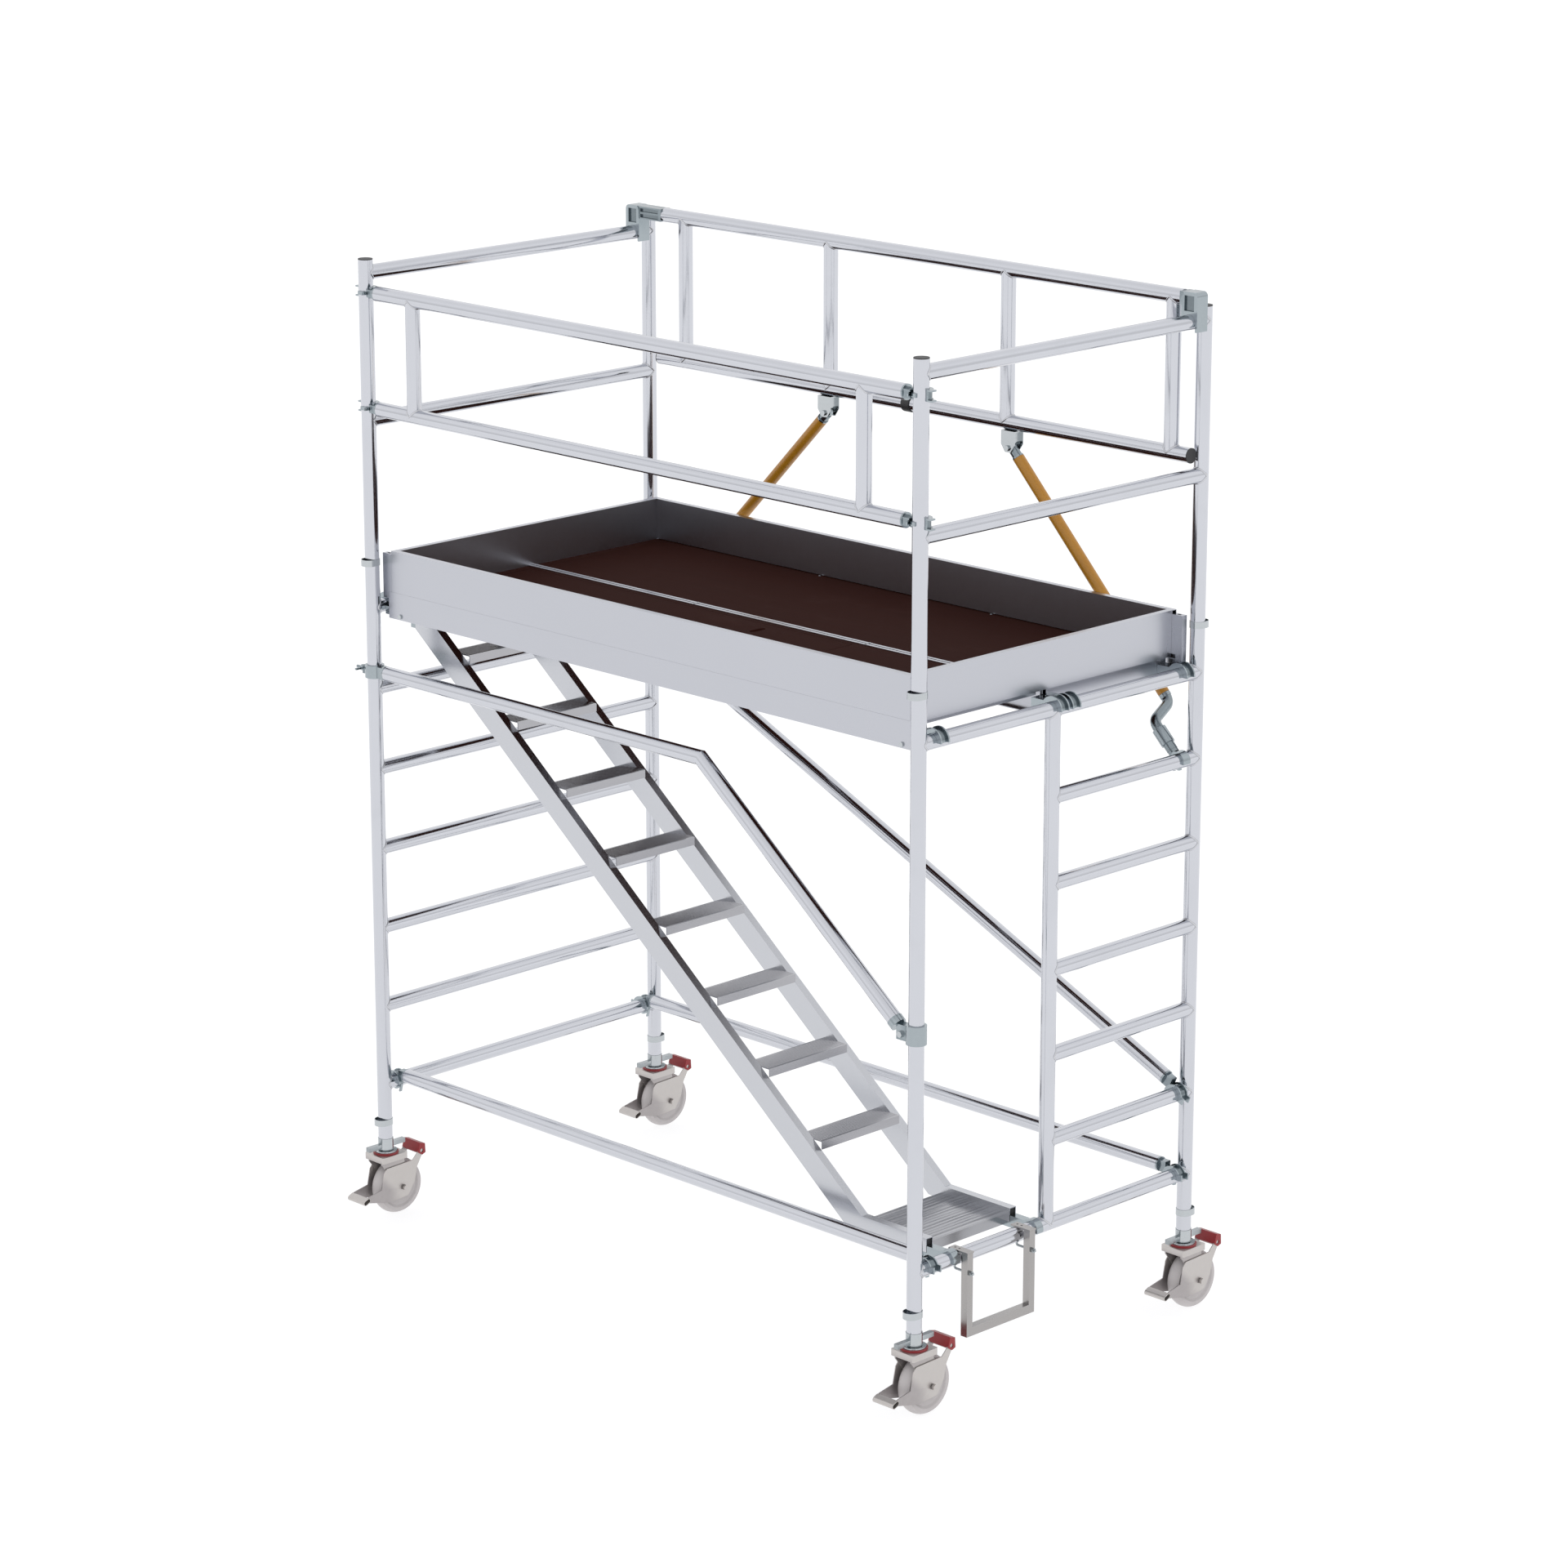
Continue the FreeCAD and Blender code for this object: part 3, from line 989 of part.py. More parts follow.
def wheel(corner, centre):
    """Wheel with a rounded tread and a dished face, bored for the axle."""
    r, half, hub = s.wheel_dia / 2, s.wheel_width / 2, s.fork_gap / 2 - 0.5
    bore = s.axle_dia / 2 + 0.1
    outline = [V(-hub, 0, bore), V(-hub, 0, 22), V(-half + 7, 0, 34), V(-half + 5, 0, r - 30),
               V(-half, 0, r - 22), V(-half, 0, r - 9)]
    right = [V(-p.x, 0, p.z) for p in reversed(outline)]
    edges = [Part.makePolygon(outline).Edges, [Part.Arc(outline[-1], V(0, 0, r), right[0]).toShape()],
             Part.makePolygon(right + [outline[0]]).Edges]
    wire = Part.Wire([e for part in edges for e in part])
    disc = Part.Face(wire).revolve(V(), AXIS_X, 360)
    feature("wheel_" + corner, [disc], centre + V(0, s.trail, r))


def brake(corner, centre):
    """Brake rocker: side plates hung on the axle, a flattened foot bar and a red cap on the release bar."""
    z = s.wheel_dia / 2
    y = s.trail
    inner = s.fork_gap / 2 + s.fork_wall + 1.2
    outline = [V(0, y - 168, z - 18), V(0, y - 163, z + 2), V(0, y - 100, z + 14), V(0, y - 88, z + 72),
               V(0, y - 76, z + 86), V(0, y + 42, z + 90), V(0, y + 74, z + 122), V(0, y + 92, z + 112),
               V(0, y + 62, z + 62), V(0, y + 50, z + 10), V(0, y + 20, z - 34), V(0, y - 62, z - 42)]
    plate = prism(outline, V(3, 0, 0))
    pivot = cylinder(s.axle_dia / 2 + 0.2, 200, V(-100, y, z), AXIS_X)
    plates = [plate.translated(V(inner, 0, 0)).cut(pivot), plate.translated(V(-inner - 3, 0, 0)).cut(pivot)]
    foot = V(-inner - 6, y - 165, z - 9)
    length = 2 * inner + 12
    flat = lambda r: cylinder(r, length, foot, AXIS_X).multiFuse(
        [cylinder(r, length, foot + V(0, -13, -6), AXIS_X),
         prism([foot + V(0, 0.42 * r, -0.91 * r), foot + V(0, -0.42 * r, 0.91 * r),
                foot + V(0, -13 - 0.42 * r, -6 + 0.91 * r), foot + V(0, -13 + 0.42 * r, -6 - 0.91 * r)],
               V(length, 0, 0))])
    bar = cylinder(7, 2 * inner - 0.1 + 6, V(-inner - 3, y + 83, z + 116), AXIS_X)
    solids = plates + [bar]
    body = solids[0].multiFuse(solids[1:] + [flat(9)]).cut(flat(7))
    feature("brake_" + corner, [body.removeSplitter()], centre)
    cap = prism([V(0, y + 66, z + 112), V(0, y + 76, z + 146), V(0, y + 98, z + 140), V(0, y + 100, z + 106),
                 V(0, y + 84, z + 100)], V(2 * inner + 12, 0, 0)).translated(V(-inner - 6, 0, 0))
    cap = cap.cut(cylinder(7.2, 200, V(-100, y + 83, z + 116), AXIS_X))
    slots = [prism([p + V(inner - 0.3, 0, 0) for p in outline], V(3.6, 0, 0)),
             prism([p + V(-inner - 3.3, 0, 0) for p in outline], V(3.6, 0, 0))]
    for slot in slots:
        cap = cap.cut(slot)
    feature("brake_cap_" + corner, [cap], centre)


# ---------------------------------------------------------------- build
end_frame_left()
end_frame_right()
guard_frames()
end_plugs()
spring_clips()
claws()
claw_latches()
front_guardrail()
rear_guardrail()
rear_hook_brackets()
brace_brackets()
knee_braces()
knee_brace_ends()
base_braces()
diagonal_brace()
handrail()
handrail_couplers()
coupler_wing_nut()
stair_stringers()
stair_treads()
stair_landing()
stair_hooks()
deck_frame("deck_front_frame", -s.deck_edge, -s.deck_gap / 2)
deck_frame("deck_rear_frame", s.deck_edge, s.deck_gap / 2)
deck_panel("deck_front_panel", -s.deck_edge, -s.deck_gap / 2)
deck_panel("deck_rear_panel", s.deck_edge, s.deck_gap / 2)
trapdoor()
deck_hooks()
toe_boards()
toe_corner_clips()
hanging_step()
fasteners()
for corner_name, (side_x, side_y) in CORNERS.items():
    caster(corner_name, side_x, side_y)

doc.recompute()
for obj in doc.Objects:
    if "Invalid" in obj.State or "Error" in obj.State:
        raise RuntimeError("failed: " + obj.Label)
for obj, label in NODES:
    if obj.Shape.isNull() or not obj.Shape.isValid():
        raise RuntimeError("bad shape: " + label)
for obj, label in NODES:
    obj.Shape.exportStep(os.path.join("parts", label + ".step"))
print(len(NODES), "sub-parts")
for obj, label in NODES:
    print("%-24s %3d solids %12.0f mm3" % (label, len(obj.Shape.Solids), obj.Shape.Volume))
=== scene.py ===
import math

import bpy
import numpy as np
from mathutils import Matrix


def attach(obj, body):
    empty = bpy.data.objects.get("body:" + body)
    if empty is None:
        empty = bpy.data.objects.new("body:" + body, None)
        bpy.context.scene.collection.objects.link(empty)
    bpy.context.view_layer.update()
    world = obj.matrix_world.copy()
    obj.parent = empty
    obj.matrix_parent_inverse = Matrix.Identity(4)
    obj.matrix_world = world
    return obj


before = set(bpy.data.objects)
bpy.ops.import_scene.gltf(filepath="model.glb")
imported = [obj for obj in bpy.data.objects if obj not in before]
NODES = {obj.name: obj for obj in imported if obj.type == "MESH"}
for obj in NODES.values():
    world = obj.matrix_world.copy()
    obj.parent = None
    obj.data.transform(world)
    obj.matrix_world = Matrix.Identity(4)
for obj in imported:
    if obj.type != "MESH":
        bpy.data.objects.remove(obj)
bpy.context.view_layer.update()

# ------------------------------------------------------------------ camera, floor and studio light
# The tower stands on a plain pale floor that runs out to the backdrop, under a large soft
# overhead light, with the lens at eye height above the guardrail and a long focal length.
camera_data = bpy.data.cameras.new("camera")
camera_data.lens = 110.9
camera_data.clip_end = 400
camera = bpy.data.objects.new("camera", camera_data)
camera.location = (11.063, -10.961, 6.009)
camera.rotation_euler = (math.radians(90 - 15.47), 0, math.radians(45.14))
bpy.context.scene.collection.objects.link(camera)
bpy.context.scene.camera = camera
bpy.context.scene.view_settings.view_transform = "Standard"


class Value:
    """A number that varies over a surface: arithmetic on it adds the matching Math nodes."""

    def __init__(self, finish, socket):
        self.finish, self.socket = finish, socket

    def math(self, operation, other=None):
        values = {0: self} if other is None else {0: self, 1: other}
        return self.finish.node("ShaderNodeMath", {"operation": operation}, values)

    def reflected(self, operation, other):
        return self.finish.node("ShaderNodeMath", {"operation": operation}, {0: other, 1: self})

    def __add__(self, other):
        return self.math("ADD", other)

    def __radd__(self, other):
        return self.math("ADD", other)

    def __sub__(self, other):
        return self.math("SUBTRACT", other)

    def __rsub__(self, other):
        return self.reflected("SUBTRACT", other)

    def __mul__(self, other):
        return self.math("MULTIPLY", other)

    def __rmul__(self, other):
        return self.math("MULTIPLY", other)

    def __abs__(self):
        return self.math("ABSOLUTE")


class Finish:
    """A material made of nodes round one Principled shader."""

    def __init__(self, name):
        self.material = bpy.data.materials.new(name)
        self.material.use_nodes = True
        self.tree = self.material.node_tree
        self.tree.nodes.clear()
        output = self.tree.nodes.new("ShaderNodeOutputMaterial")
        self.shader = self.tree.nodes.new("ShaderNodeBsdfPrincipled")
        self.tree.links.new(self.shader.outputs[0], output.inputs[0])
        self.place = self.node("ShaderNodeTexCoord", {}, {}, "Object")

    def node(self, kind, settings, values, output=0):
        """Adds a node: its settings first, then its sockets' numbers or links."""
        made = self.tree.nodes.new(kind)
        for key, setting in settings.items():
            setattr(made, key, setting)
        self.fill(made, values)
        return Value(self, made.outputs[output])

    def fill(self, made, values):
        for key, value in values.items():
            if isinstance(value, Value):
                self.tree.links.new(value.socket, made.inputs[key])
            else:
                made.inputs[key].default_value = value

    def noise(self, stretch, detail=3, rough=0.55):
        """Noise on object coordinates, in cycles per metre along X, Y and Z."""
        spot = self.node("ShaderNodeMapping", {}, {"Vector": self.place, "Scale": stretch})
        return self.node("ShaderNodeTexNoise", {}, {"Vector": spot, "Scale": 1, "Detail": detail,
                                                    "Roughness": rough})

    def axis(self, letter):
        return self.node("ShaderNodeSeparateXYZ", {}, {0: self.place}, letter)

    def step(self, value, low, high):
        """Eases from 0 to 1 while the value runs from low to high."""
        return self.node("ShaderNodeMapRange", {"interpolation_type": "SMOOTHSTEP"},
                         {"Value": value, "From Min": low, "From Max": high})

    def blend(self, factor, first, second):
        """Colour between two colours."""
        return self.node("ShaderNodeMix", {"data_type": "RGBA"}, {0: factor, 6: first, 7: second}, 2)

    def pick(self, factor, first, second):
        """Number between two numbers."""
        return self.node("ShaderNodeMix", {"data_type": "FLOAT"}, {0: factor, 2: first, 3: second})

    def bump(self, height, metres, strength=1.0):
        return self.node("ShaderNodeBump", {}, {"Height": height, "Distance": metres, "Strength": strength},
                         "Normal")

    def surface(self, **values):
        self.fill(self.shader, {key.replace("_", " "): value for key, value in values.items()})
        return self.material

    def wear(self):
        """0 on the open faces, 1 on sharp outer edges."""
        point = self.node("ShaderNodeNewGeometry", {}, {}, "Pointiness")
        return self.step(point, 0.52, 0.6)


def dress(material, *names):
    """Gives CAD nodes their material."""
    for name in names:
        mesh = NODES[name].data
        mesh.materials.clear()
        mesh.materials.append(material)


def rgb(red, green, blue):
    """Display colour from 0 to 255, as a linear colour."""
    linear = [((v / 255 + 0.055) / 1.055) ** 2.4 for v in (red, green, blue)]
    return (*linear, 1)


world = bpy.data.worlds.new("studio")
bpy.context.scene.world = world
world.use_nodes = True
sky = world.node_tree
sky.nodes.clear()
direction = sky.nodes.new("ShaderNodeTexCoord")
parts = sky.nodes.new("ShaderNodeSeparateXYZ")
ramp = sky.nodes.new("ShaderNodeValToRGB")
lift = sky.nodes.new("ShaderNodeMapRange")
glow = sky.nodes.new("ShaderNodeBackground")
plain = sky.nodes.new("ShaderNodeBackground")
seen = sky.nodes.new("ShaderNodeLightPath")
choose = sky.nodes.new("ShaderNodeMixShader")
out = sky.nodes.new("ShaderNodeOutputWorld")
lift.inputs["From Min"].default_value = -1
stops = [(0.0, 0.86), (0.36, 0.9), (0.48, 0.93), (0.53, 0.8), (0.60, 0.9), (0.72, 1.08), (0.85, 0.98),
         (1.0, 0.92)]
while len(ramp.color_ramp.elements) < len(stops):
    ramp.color_ramp.elements.new(1)
for element, (at, level) in zip(ramp.color_ramp.elements, stops):
    element.position, element.color = at, (level, level, level * 1.01, 1)
plain.inputs["Color"].default_value = (0.985, 0.985, 0.99, 1)
for a, b in ((direction.outputs["Generated"], parts.inputs[0]), (parts.outputs["Z"], lift.inputs["Value"]),
             (lift.outputs[0], ramp.inputs[0]), (ramp.outputs[0], glow.inputs["Color"]),
             (seen.outputs["Is Camera Ray"], choose.inputs[0]), (glow.outputs[0], choose.inputs[1]),
             (plain.outputs[0], choose.inputs[2]), (choose.outputs[0], out.inputs[0])):
    sky.links.new(a, b)

floor_mesh = bpy.data.meshes.new("floor")
reach = 150.0
floor_mesh.from_pydata([(-reach, -reach, 0), (reach, -reach, 0), (reach, reach, 0), (-reach, reach, 0)], [],
                       [(0, 1, 2, 3)])
floor = bpy.data.objects.new("floor", floor_mesh)
floor.location.z = -0.0015
bpy.context.scene.collection.objects.link(floor)
floor_look = Finish("pale_floor")
speck = floor_look.noise((3, 3, 3))
floor_look.surface(Base_Color=(0.25, 0.25, 0.25, 1), Roughness=floor_look.pick(speck, 0.85, 0.95),
                   Emission_Color=(0.86, 0.86, 0.866, 1), Emission_Strength=0.94)
floor_mesh.materials.append(floor_look.material)


# ------------------------------------------------------------------ ladder end frames and guard frames
# Drawn round aluminium tube, 50 mm across, cut and welded into ladders. The drawing leaves fine
# lines along each tube, and handling leaves small scratches and dull patches.
def drawn_aluminium(name, along, upright=None, tint=(203, 205, 211)):
    """Bright tube: fine lines run along one axis, or upright inside the bands that upright selects."""
    look = Finish(name)
    fine = {"X": (6, 900, 900), "Y": (900, 6, 900), "Z": (900, 900, 6)}
    lines = look.noise(fine[along], 2)
    scratch = look.noise({"X": (9, 260, 260), "Y": (260, 9, 260), "Z": (260, 260, 9)}[along], 4, 0.7)
    if upright:
        mask = upright(look)
        lines = look.pick(mask, lines, look.noise(fine["Z"], 2))
        scratch = look.pick(mask, scratch, look.noise((260, 260, 9), 4, 0.7))
    cloud = look.noise((2.1, 2.1, 2.1), 3)
    smudge = look.step(look.noise((9, 9, 9), 5, 0.6), 0.5, 0.75)
    nick = look.step(scratch, 0.66, 0.7)
    tone = look.blend(cloud, rgb(*[v - 4 for v in tint]), rgb(*[v + 3 for v in tint]))
    tone = look.blend(smudge * 0.12, tone, rgb(188, 190, 195))
    tone = look.blend(nick * 0.12, tone, rgb(222, 223, 226))
    rough = look.pick(cloud, 0.1, 0.14) + smudge * 0.05 + nick * 0.08
    height = lines * 0.4 + nick * -0.5
    return look.surface(Base_Color=tone, Metallic=1.0, Roughness=rough,
                        Normal=look.bump(height, 0.00001, 0.3))


def posts_and_middle(look):
    """Posts stand at the two ends of the frame's width, and one near its middle."""
    across = look.axis("Y")
    ends = look.step(abs(across), 0.622, 0.626)
    middle = 1 - look.step(abs(across + 0.04), 0.024, 0.027)
    return ends.math("MAXIMUM", middle)


def posts_only(look):
    """Posts stand at the two ends of the frame's width."""
    return look.step(abs(look.axis("Y")), 0.622, 0.626)


dress(drawn_aluminium("left_frame_tube", "Y", posts_only), "end_frame_left")
dress(drawn_aluminium("right_frame_tube", "Y", posts_and_middle), "end_frame_right")
dress(drawn_aluminium("guard_frame_tube", "Y", posts_only), "guard_frames")
dress(drawn_aluminium("rail_tube", "X"), "front_guardrail", "rear_guardrail", "base_braces", "handrail")
dress(drawn_aluminium("diagonal_tube", "X"), "diagonal_brace")


# ------------------------------------------------------------------ weld beads
# Every rung, strut and post end is welded all round to the tube it is cut to fit. The beads are
# small rippled fillets of the same alloy, slightly duller than the tube.
def mesh_piece(name, grids, body, material, closed=(True, True)):
    """One object from grids of points (rows, columns, 3); closed says whether rows and columns wrap."""
    points, faces, start = [], [], 0
    for grid in grids:
        rows, columns = grid.shape[:2]
        i, j = np.meshgrid(np.arange(rows - (not closed[0])), np.arange(columns - (not closed[1])),
                           indexing="ij")
        i, j = i.ravel(), j.ravel()
        down, right = (i + 1) % rows, (j + 1) % columns
        quads = np.stack([i * columns + j, i * columns + right,
                          down * columns + right, down * columns + j], 1)
        points.append(grid.reshape(-1, 3))
        faces.append(quads + start)
        start += rows * columns
    mesh = bpy.data.meshes.new(name)
    mesh.from_pydata(np.concatenate(points).tolist(), [], np.concatenate(faces).tolist())
    mesh.shade_smooth()
    mesh.materials.append(material)
    piece = bpy.data.objects.new(name, mesh)
    bpy.context.scene.collection.objects.link(piece)
    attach(piece, body)
    return piece


def bead(centre, post, toward, radius=0.025, thick=0.0032):
    """Bead where a tube leaves an equal tube: the joint line is the meeting curve of two cylinders
    (out along the branch by the radius times the sine's size), swept with a small circle."""
    post, toward = np.array(post, float), np.array(toward, float)
    side = np.cross(post, toward)
    t = np.linspace(0, 2 * np.pi, 60, endpoint=False)[:, None]
    ray = np.cos(t) * side + np.sin(t) * post
    line = np.array(centre, float) + radius * ray + toward * radius * np.sqrt(np.sin(t) ** 2 + 0.004)
    along = np.roll(line, -1, 0) - np.roll(line, 1, 0)
    along /= np.linalg.norm(along, axis=1, keepdims=True)
    other = np.cross(along, ray)
    s = np.linspace(0, 2 * np.pi, 8, endpoint=False)[None, :, None]
    ripple = 1 + 0.1 * np.sin(t * 30)[:, :, None]
    return line[:, None] + thick * ripple * (np.cos(s) * ray[:, None] + np.sin(s) * other[:, None])


HALF_X, HALF_Y, SEAM = 1.2825, 0.65, 2.2875
MIDDLE_POST = -0.04
X, Y, Z = (1, 0, 0), (0, 1, 0), (0, 0, 1)
RUNGS = [0.4875 + 0.2857 * k for k in range(7)]
GUARD_RUNGS = (0.561, 1.0615)
FRONT_RAILS, FRONT_STRUT = (0.6045, 0.9965), 1.045
REAR_RAILS, REAR_Y, REAR_STRUTS = (0.629, 1.135), 0.5997, (-1.04, -0.329, 0.487, 1.198)
joints = [((-HALF_X, sy * HALF_Y, z), Z, (0, -sy, 0)) for z in RUNGS for sy in (-1, 1)]
joints += [((HALF_X, sy * HALF_Y, z), Z, (0, -sy, 0)) for z in (RUNGS[0], RUNGS[6]) for sy in (-1, 1)]
joints += [((HALF_X, HALF_Y, z), Z, (0, -1, 0)) for z in RUNGS[1:6]]
joints += [((HALF_X, MIDDLE_POST, z), Z, Y) for z in RUNGS[1:6]]
joints += [((HALF_X, MIDDLE_POST, RUNGS[0]), Y, Z), ((HALF_X, MIDDLE_POST, RUNGS[6]), Y, (0, 0, -1))]
joints += [((sx * HALF_X, sy * HALF_Y, SEAM + z), Z, (0, -sy, 0))
           for sx in (-1, 1) for sy in (-1, 1) for z in GUARD_RUNGS]
joints += [((sx * FRONT_STRUT, -HALF_Y, SEAM + z), X, (0, 0, up)) for sx in (-1, 1)
           for z, up in zip(FRONT_RAILS, (1, -1))]
joints += [((x, REAR_Y, SEAM + z), X, (0, 0, up)) for x in REAR_STRUTS
           for z, up in zip(REAR_RAILS, (1, -1))]


def weld_metal():
    look = Finish("weld_alloy")
    ripple = look.noise((260, 260, 260), 3)
    heat = look.noise((18, 18, 18), 4)
    tone = look.blend(heat, rgb(198, 199, 203), rgb(210, 211, 215))
    return look.surface(Base_Color=tone, Metallic=1.0, Roughness=look.pick(ripple, 0.24, 0.34),
                        Normal=look.bump(ripple, 0.00008, 0.4))


mesh_piece("weld_beads", [bead(*joint) for joint in joints], "tower", weld_metal())


# ------------------------------------------------------------------ black plugs
# Moulded black polyethylene caps pushed into the open tube ends, dull with a fine moulded grain.
def moulded(name, low, high, rough, grain=0.00006):
    look = Finish(name)
    patch = look.noise((30, 30, 30), 4)
    pebble = look.noise((1400, 1400, 1400), 2)
    scuff = look.step(look.noise((90, 90, 20), 5, 0.7), 0.6, 0.72)
    tone = look.blend(patch, rgb(*low), rgb(*high))
    tone = look.blend(scuff * 0.18, tone, rgb(*[min(255, v + 45) for v in high]))
    tone = look.blend(look.wear() * 0.25, tone, rgb(*[min(255, v + 35) for v in high]))
    return look.surface(Base_Color=tone, Normal=look.bump(pebble, grain, 0.35),
                        Roughness=look.pick(patch, rough - 0.05, rough + 0.07) + scuff * 0.1)


dress(moulded("black_plug", (20, 20, 22), (32, 32, 34), 0.5), "end_plugs")


# ------------------------------------------------------------------ cast and pressed zinc-plated fittings
# Claws, couplers, hooks, latches and clips are steel castings and pressings with a bluish zinc
# plate: mottled, a little rough, bright where parts rub, with painted shade darkening the corners.
def zinc(name, tint, rough, grain=160):
    look = Finish(name)
    mottle = look.noise((grain, grain, grain), 4, 0.65)
    broad = look.noise((14, 14, 14), 3)
    skin = look.noise((900, 900, 900), 3)
    edge = look.wear()
    # Mask of concave corners (low pointiness), which are painted darker below as painted shade.
    painted_corner_shade = look.step(look.node("ShaderNodeNewGeometry", {}, {}, "Pointiness"), 0.5, 0.44)
    tone = look.blend(mottle, rgb(*[v - 16 for v in tint]), rgb(*[v + 12 for v in tint]))
    tone = look.blend(broad * 0.35, tone, rgb(tint[0] - 14, tint[1] - 4, tint[2] + 2))
    tone = look.blend(painted_corner_shade * 0.4, tone, rgb(*[v - 60 for v in tint]))
    tone = look.blend(edge * 0.4, tone, rgb(*[min(250, v + 45) for v in tint]))
    return look.surface(Base_Color=tone, Metallic=1.0,
                        Roughness=look.pick(mottle, rough - 0.06, rough + 0.08) - edge * 0.08,
                        Normal=look.bump(skin + mottle * 0.6, 0.00008, 0.35))


dress(zinc("zinc_casting", (144, 152, 156), 0.22), "claws", "claw_latches", "rear_hook_brackets",
      "knee_brace_ends", "handrail_couplers", "coupler_wing_nut", "stair_hooks", "deck_hooks")
dress(zinc("zinc_pressing", (170, 174, 176), 0.22), "spring_clips", "brace_brackets", "fasteners",
      "jack_nut_a", "jack_nut_b", "jack_nut_c", "jack_nut_d",
      "spindle_a", "spindle_b", "spindle_c", "spindle_d")


# ------------------------------------------------------------------ yellow knee braces
# Steel tube with a yellow powder coat: slight orange peel, with small chips here and there.
# Each brace is bolted to a bracket on the rear guardrail and hooked on a rung below.
def powder_coat(name, tint):
    look = Finish(name)
    peel = look.noise((420, 420, 420), 2)
    broad = look.noise((8, 8, 8), 3)
    chip = look.step(look.noise((60, 60, 60), 5, 0.7), 0.71, 0.73)
    tone = look.blend(broad, rgb(*[max(0, v - 12) for v in tint]), rgb(*[min(255, v + 8) for v in tint]))
    tone = look.blend(chip, tone, rgb(120, 118, 112))
    return look.surface(Base_Color=tone, Roughness=look.pick(broad, 0.34, 0.44), Coat_Weight=0.25,
                        Metallic=chip * 0.8, Normal=look.bump(peel, 0.00012, 0.4))


dress(powder_coat("yellow_coat", (184, 127, 26)), "knee_braces")


# ------------------------------------------------------------------ stairway
# Rectangular aluminium tube stringers carry extruded treads and a landing plate. Tread and
# landing ribs are in the metal, and the landing's shader adds a wider band pattern to them as
# bumps, with painted shade darkening the troughs between the bands.
def extruded(name, along, tint=(193, 195, 200), low=0.2, high=0.25, rib=0.0):
    """Mill-finish extrusion: very fine die lines along one axis, faint stains, and where rib is over 0,
    bumped ribs with painted shade in the troughs between them.
    """
    look = Finish(name)
    fine = {"X": (4, 1100, 1100), "Y": (1100, 4, 1100), "Z": (1100, 1100, 4)}[along]
    lines = look.noise(fine, 2, 0.5)
    cloud = look.noise((1.3, 1.3, 1.3), 3)
    stain = look.step(look.noise((5, 5, 5), 5, 0.65), 0.58, 0.8)
    edge = look.wear()
    tone = look.blend(cloud, rgb(*[v - 3 for v in tint]), rgb(*[v + 2 for v in tint]))
    tone = look.blend(stain * 0.08, tone, rgb(*[v - 14 for v in tint]))
    tone = look.blend(edge * 0.08, tone, rgb(236, 237, 240))
    height = lines * 0.01
    if rib:
        bands = 13
        wave = look.node("ShaderNodeTexWave", {"bands_direction": "X"},
                         {"Vector": look.place, "Scale": bands})
        rib_crest_and_trough_shade = look.step(wave, 0.35, 0.75)
        # Troughs between the ribs take a darker colour: painted shade in the grooves.
        tone = look.blend(rib_crest_and_trough_shade * 0.35, rgb(*[v - 26 for v in tint]), tone)
        height = height + rib_crest_and_trough_shade
    return look.surface(Base_Color=tone, Metallic=1.0,
                        Roughness=look.pick(cloud, low, high) + stain * 0.02,
                        Normal=look.bump(height, max(rib, 0.001), 0.25))


dress(extruded("stringer_alloy", "X"), "stair_stringers")
dress(extruded("tread_alloy", "Y", (166, 166, 170), 0.16, 0.22), "stair_treads")
dress(extruded("landing_alloy", "Y", (188, 189, 193), 0.18, 0.24, 0.0012), "stair_landing")


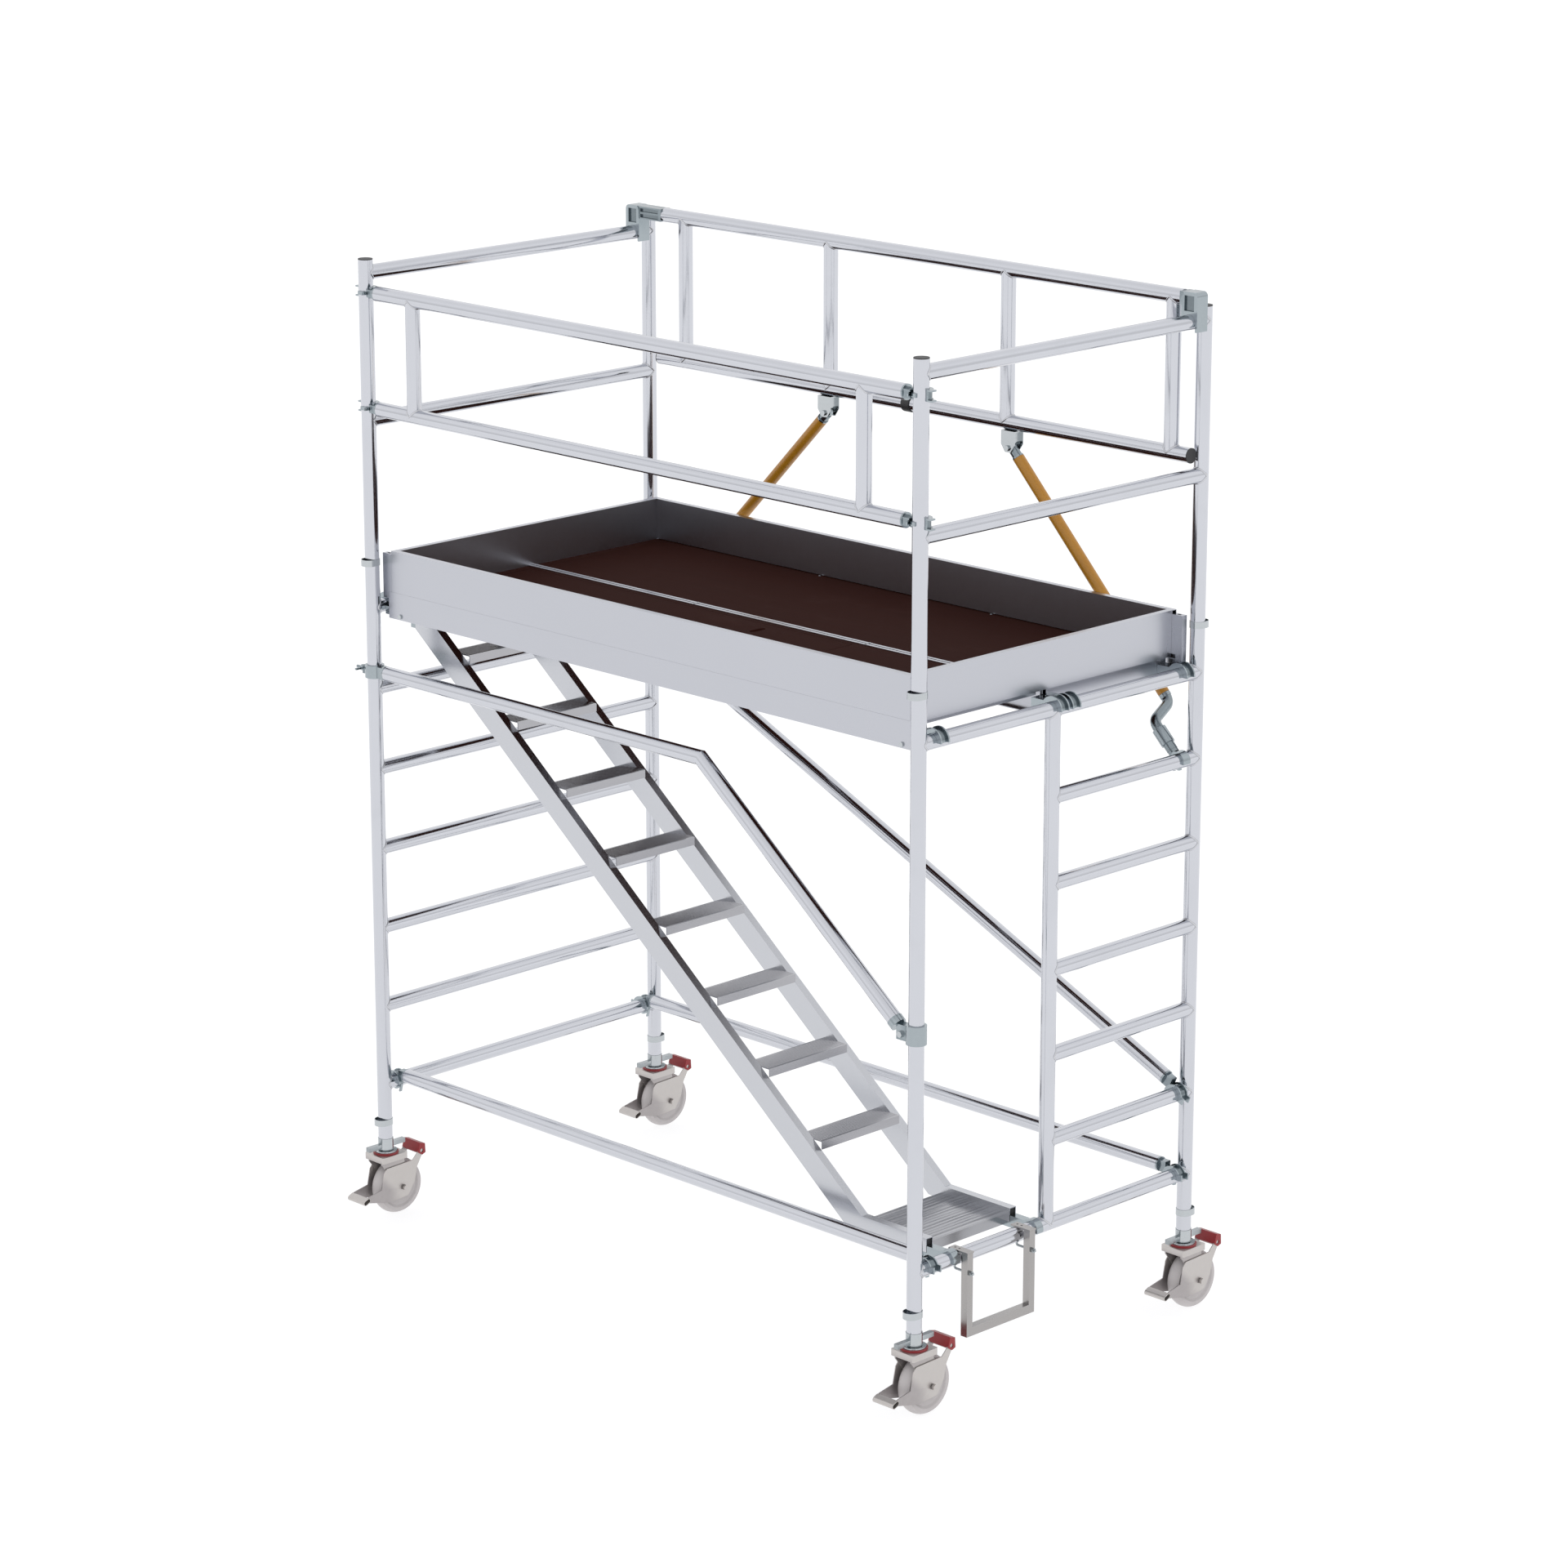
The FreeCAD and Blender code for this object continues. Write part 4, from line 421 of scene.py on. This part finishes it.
# ------------------------------------------------------------------ decks and trapdoor
# Film-faced birch plywood, dark brown, on riveted aluminium edge rails. The film carries a fine
# grain along the boards and dull scuffs where people walk.
def film_plywood(name):
    look = Finish(name)
    grain = look.noise((3.2, 150, 150), 5, 0.62)
    figure = look.noise((0.9, 16, 16), 4, 0.6)
    scuff = look.step(look.noise((3.5, 7, 7), 6, 0.7), 0.54, 0.78)
    mesh_u = look.node("ShaderNodeTexWave", {"bands_direction": "X"}, {"Vector": look.place, "Scale": 48})
    mesh_v = look.node("ShaderNodeTexWave", {"bands_direction": "Y"}, {"Vector": look.place, "Scale": 48})
    tone = look.blend(grain, rgb(44, 19, 14), rgb(56, 27, 21))
    tone = look.blend(figure * 0.5, tone, rgb(38, 16, 12))
    tone = look.blend(scuff * 0.12, tone, rgb(66, 40, 33))
    height = mesh_u * mesh_v * 0.5 + grain
    return look.surface(Base_Color=tone, Roughness=look.pick(grain, 0.7, 0.82) - scuff * 0.05,
                        Specular_IOR_Level=0.04, Normal=look.bump(height, 0.0001, 0.35))


dress(film_plywood("film_plywood"), "deck_front_panel", "deck_rear_panel", "trapdoor")
dress(extruded("deck_rail_alloy", "X", (187, 189, 196), 0.26, 0.3), "deck_front_frame", "deck_rear_frame")


# ------------------------------------------------------------------ toe boards and corner fittings
# Hollow aluminium planks stand on edge round the deck, so that nothing is kicked off it. End
# fittings at the corners hold them together.
dress(extruded("toe_board_alloy", "X", (187, 189, 196), 0.26, 0.3), "toe_boards", "toe_corner_clips")


# ------------------------------------------------------------------ hanging step
# Welded square steel tube, zinc plated and brushed. Plates clip it over the bottom rung, and
# hook bolts hold it there.
dress(extruded("step_tube", "Z", (160, 157, 155), 0.22, 0.3), "hanging_step")


# ------------------------------------------------------------------ casters
# Pressed steel forks and brake rockers in warm plated grey, light nylon wheels, red plastic caps
# and seals, under zinc jack spindles with wing nuts.
def warm_plate(name, tint):
    look = Finish(name)
    roll = look.noise((500, 12, 12), 3)
    mottle = look.noise((60, 60, 60), 4, 0.6)
    edge = look.wear()
    tone = look.blend(mottle, rgb(*[v - 9 for v in tint]), rgb(*[v + 6 for v in tint]))
    tone = look.blend(edge * 0.4, tone, rgb(226, 222, 216))
    return look.surface(Base_Color=tone, Metallic=0.85,
                        Roughness=look.pick(mottle, 0.34, 0.46) - edge * 0.05,
                        Normal=look.bump(roll + mottle, 0.00005, 0.35))


fork_metal = warm_plate("warm_plate", (172, 167, 167))
wheel_nylon = moulded("wheel_nylon", (180, 175, 175), (192, 187, 187), 0.42)
red_plastic = moulded("red_cap", (122, 14, 21), (138, 20, 27), 0.34)
for corner in "abcd":
    dress(fork_metal, "fork_" + corner, "brake_" + corner)
    dress(wheel_nylon, "wheel_" + corner)
    dress(red_plastic, "brake_cap_" + corner, "seal_" + corner)
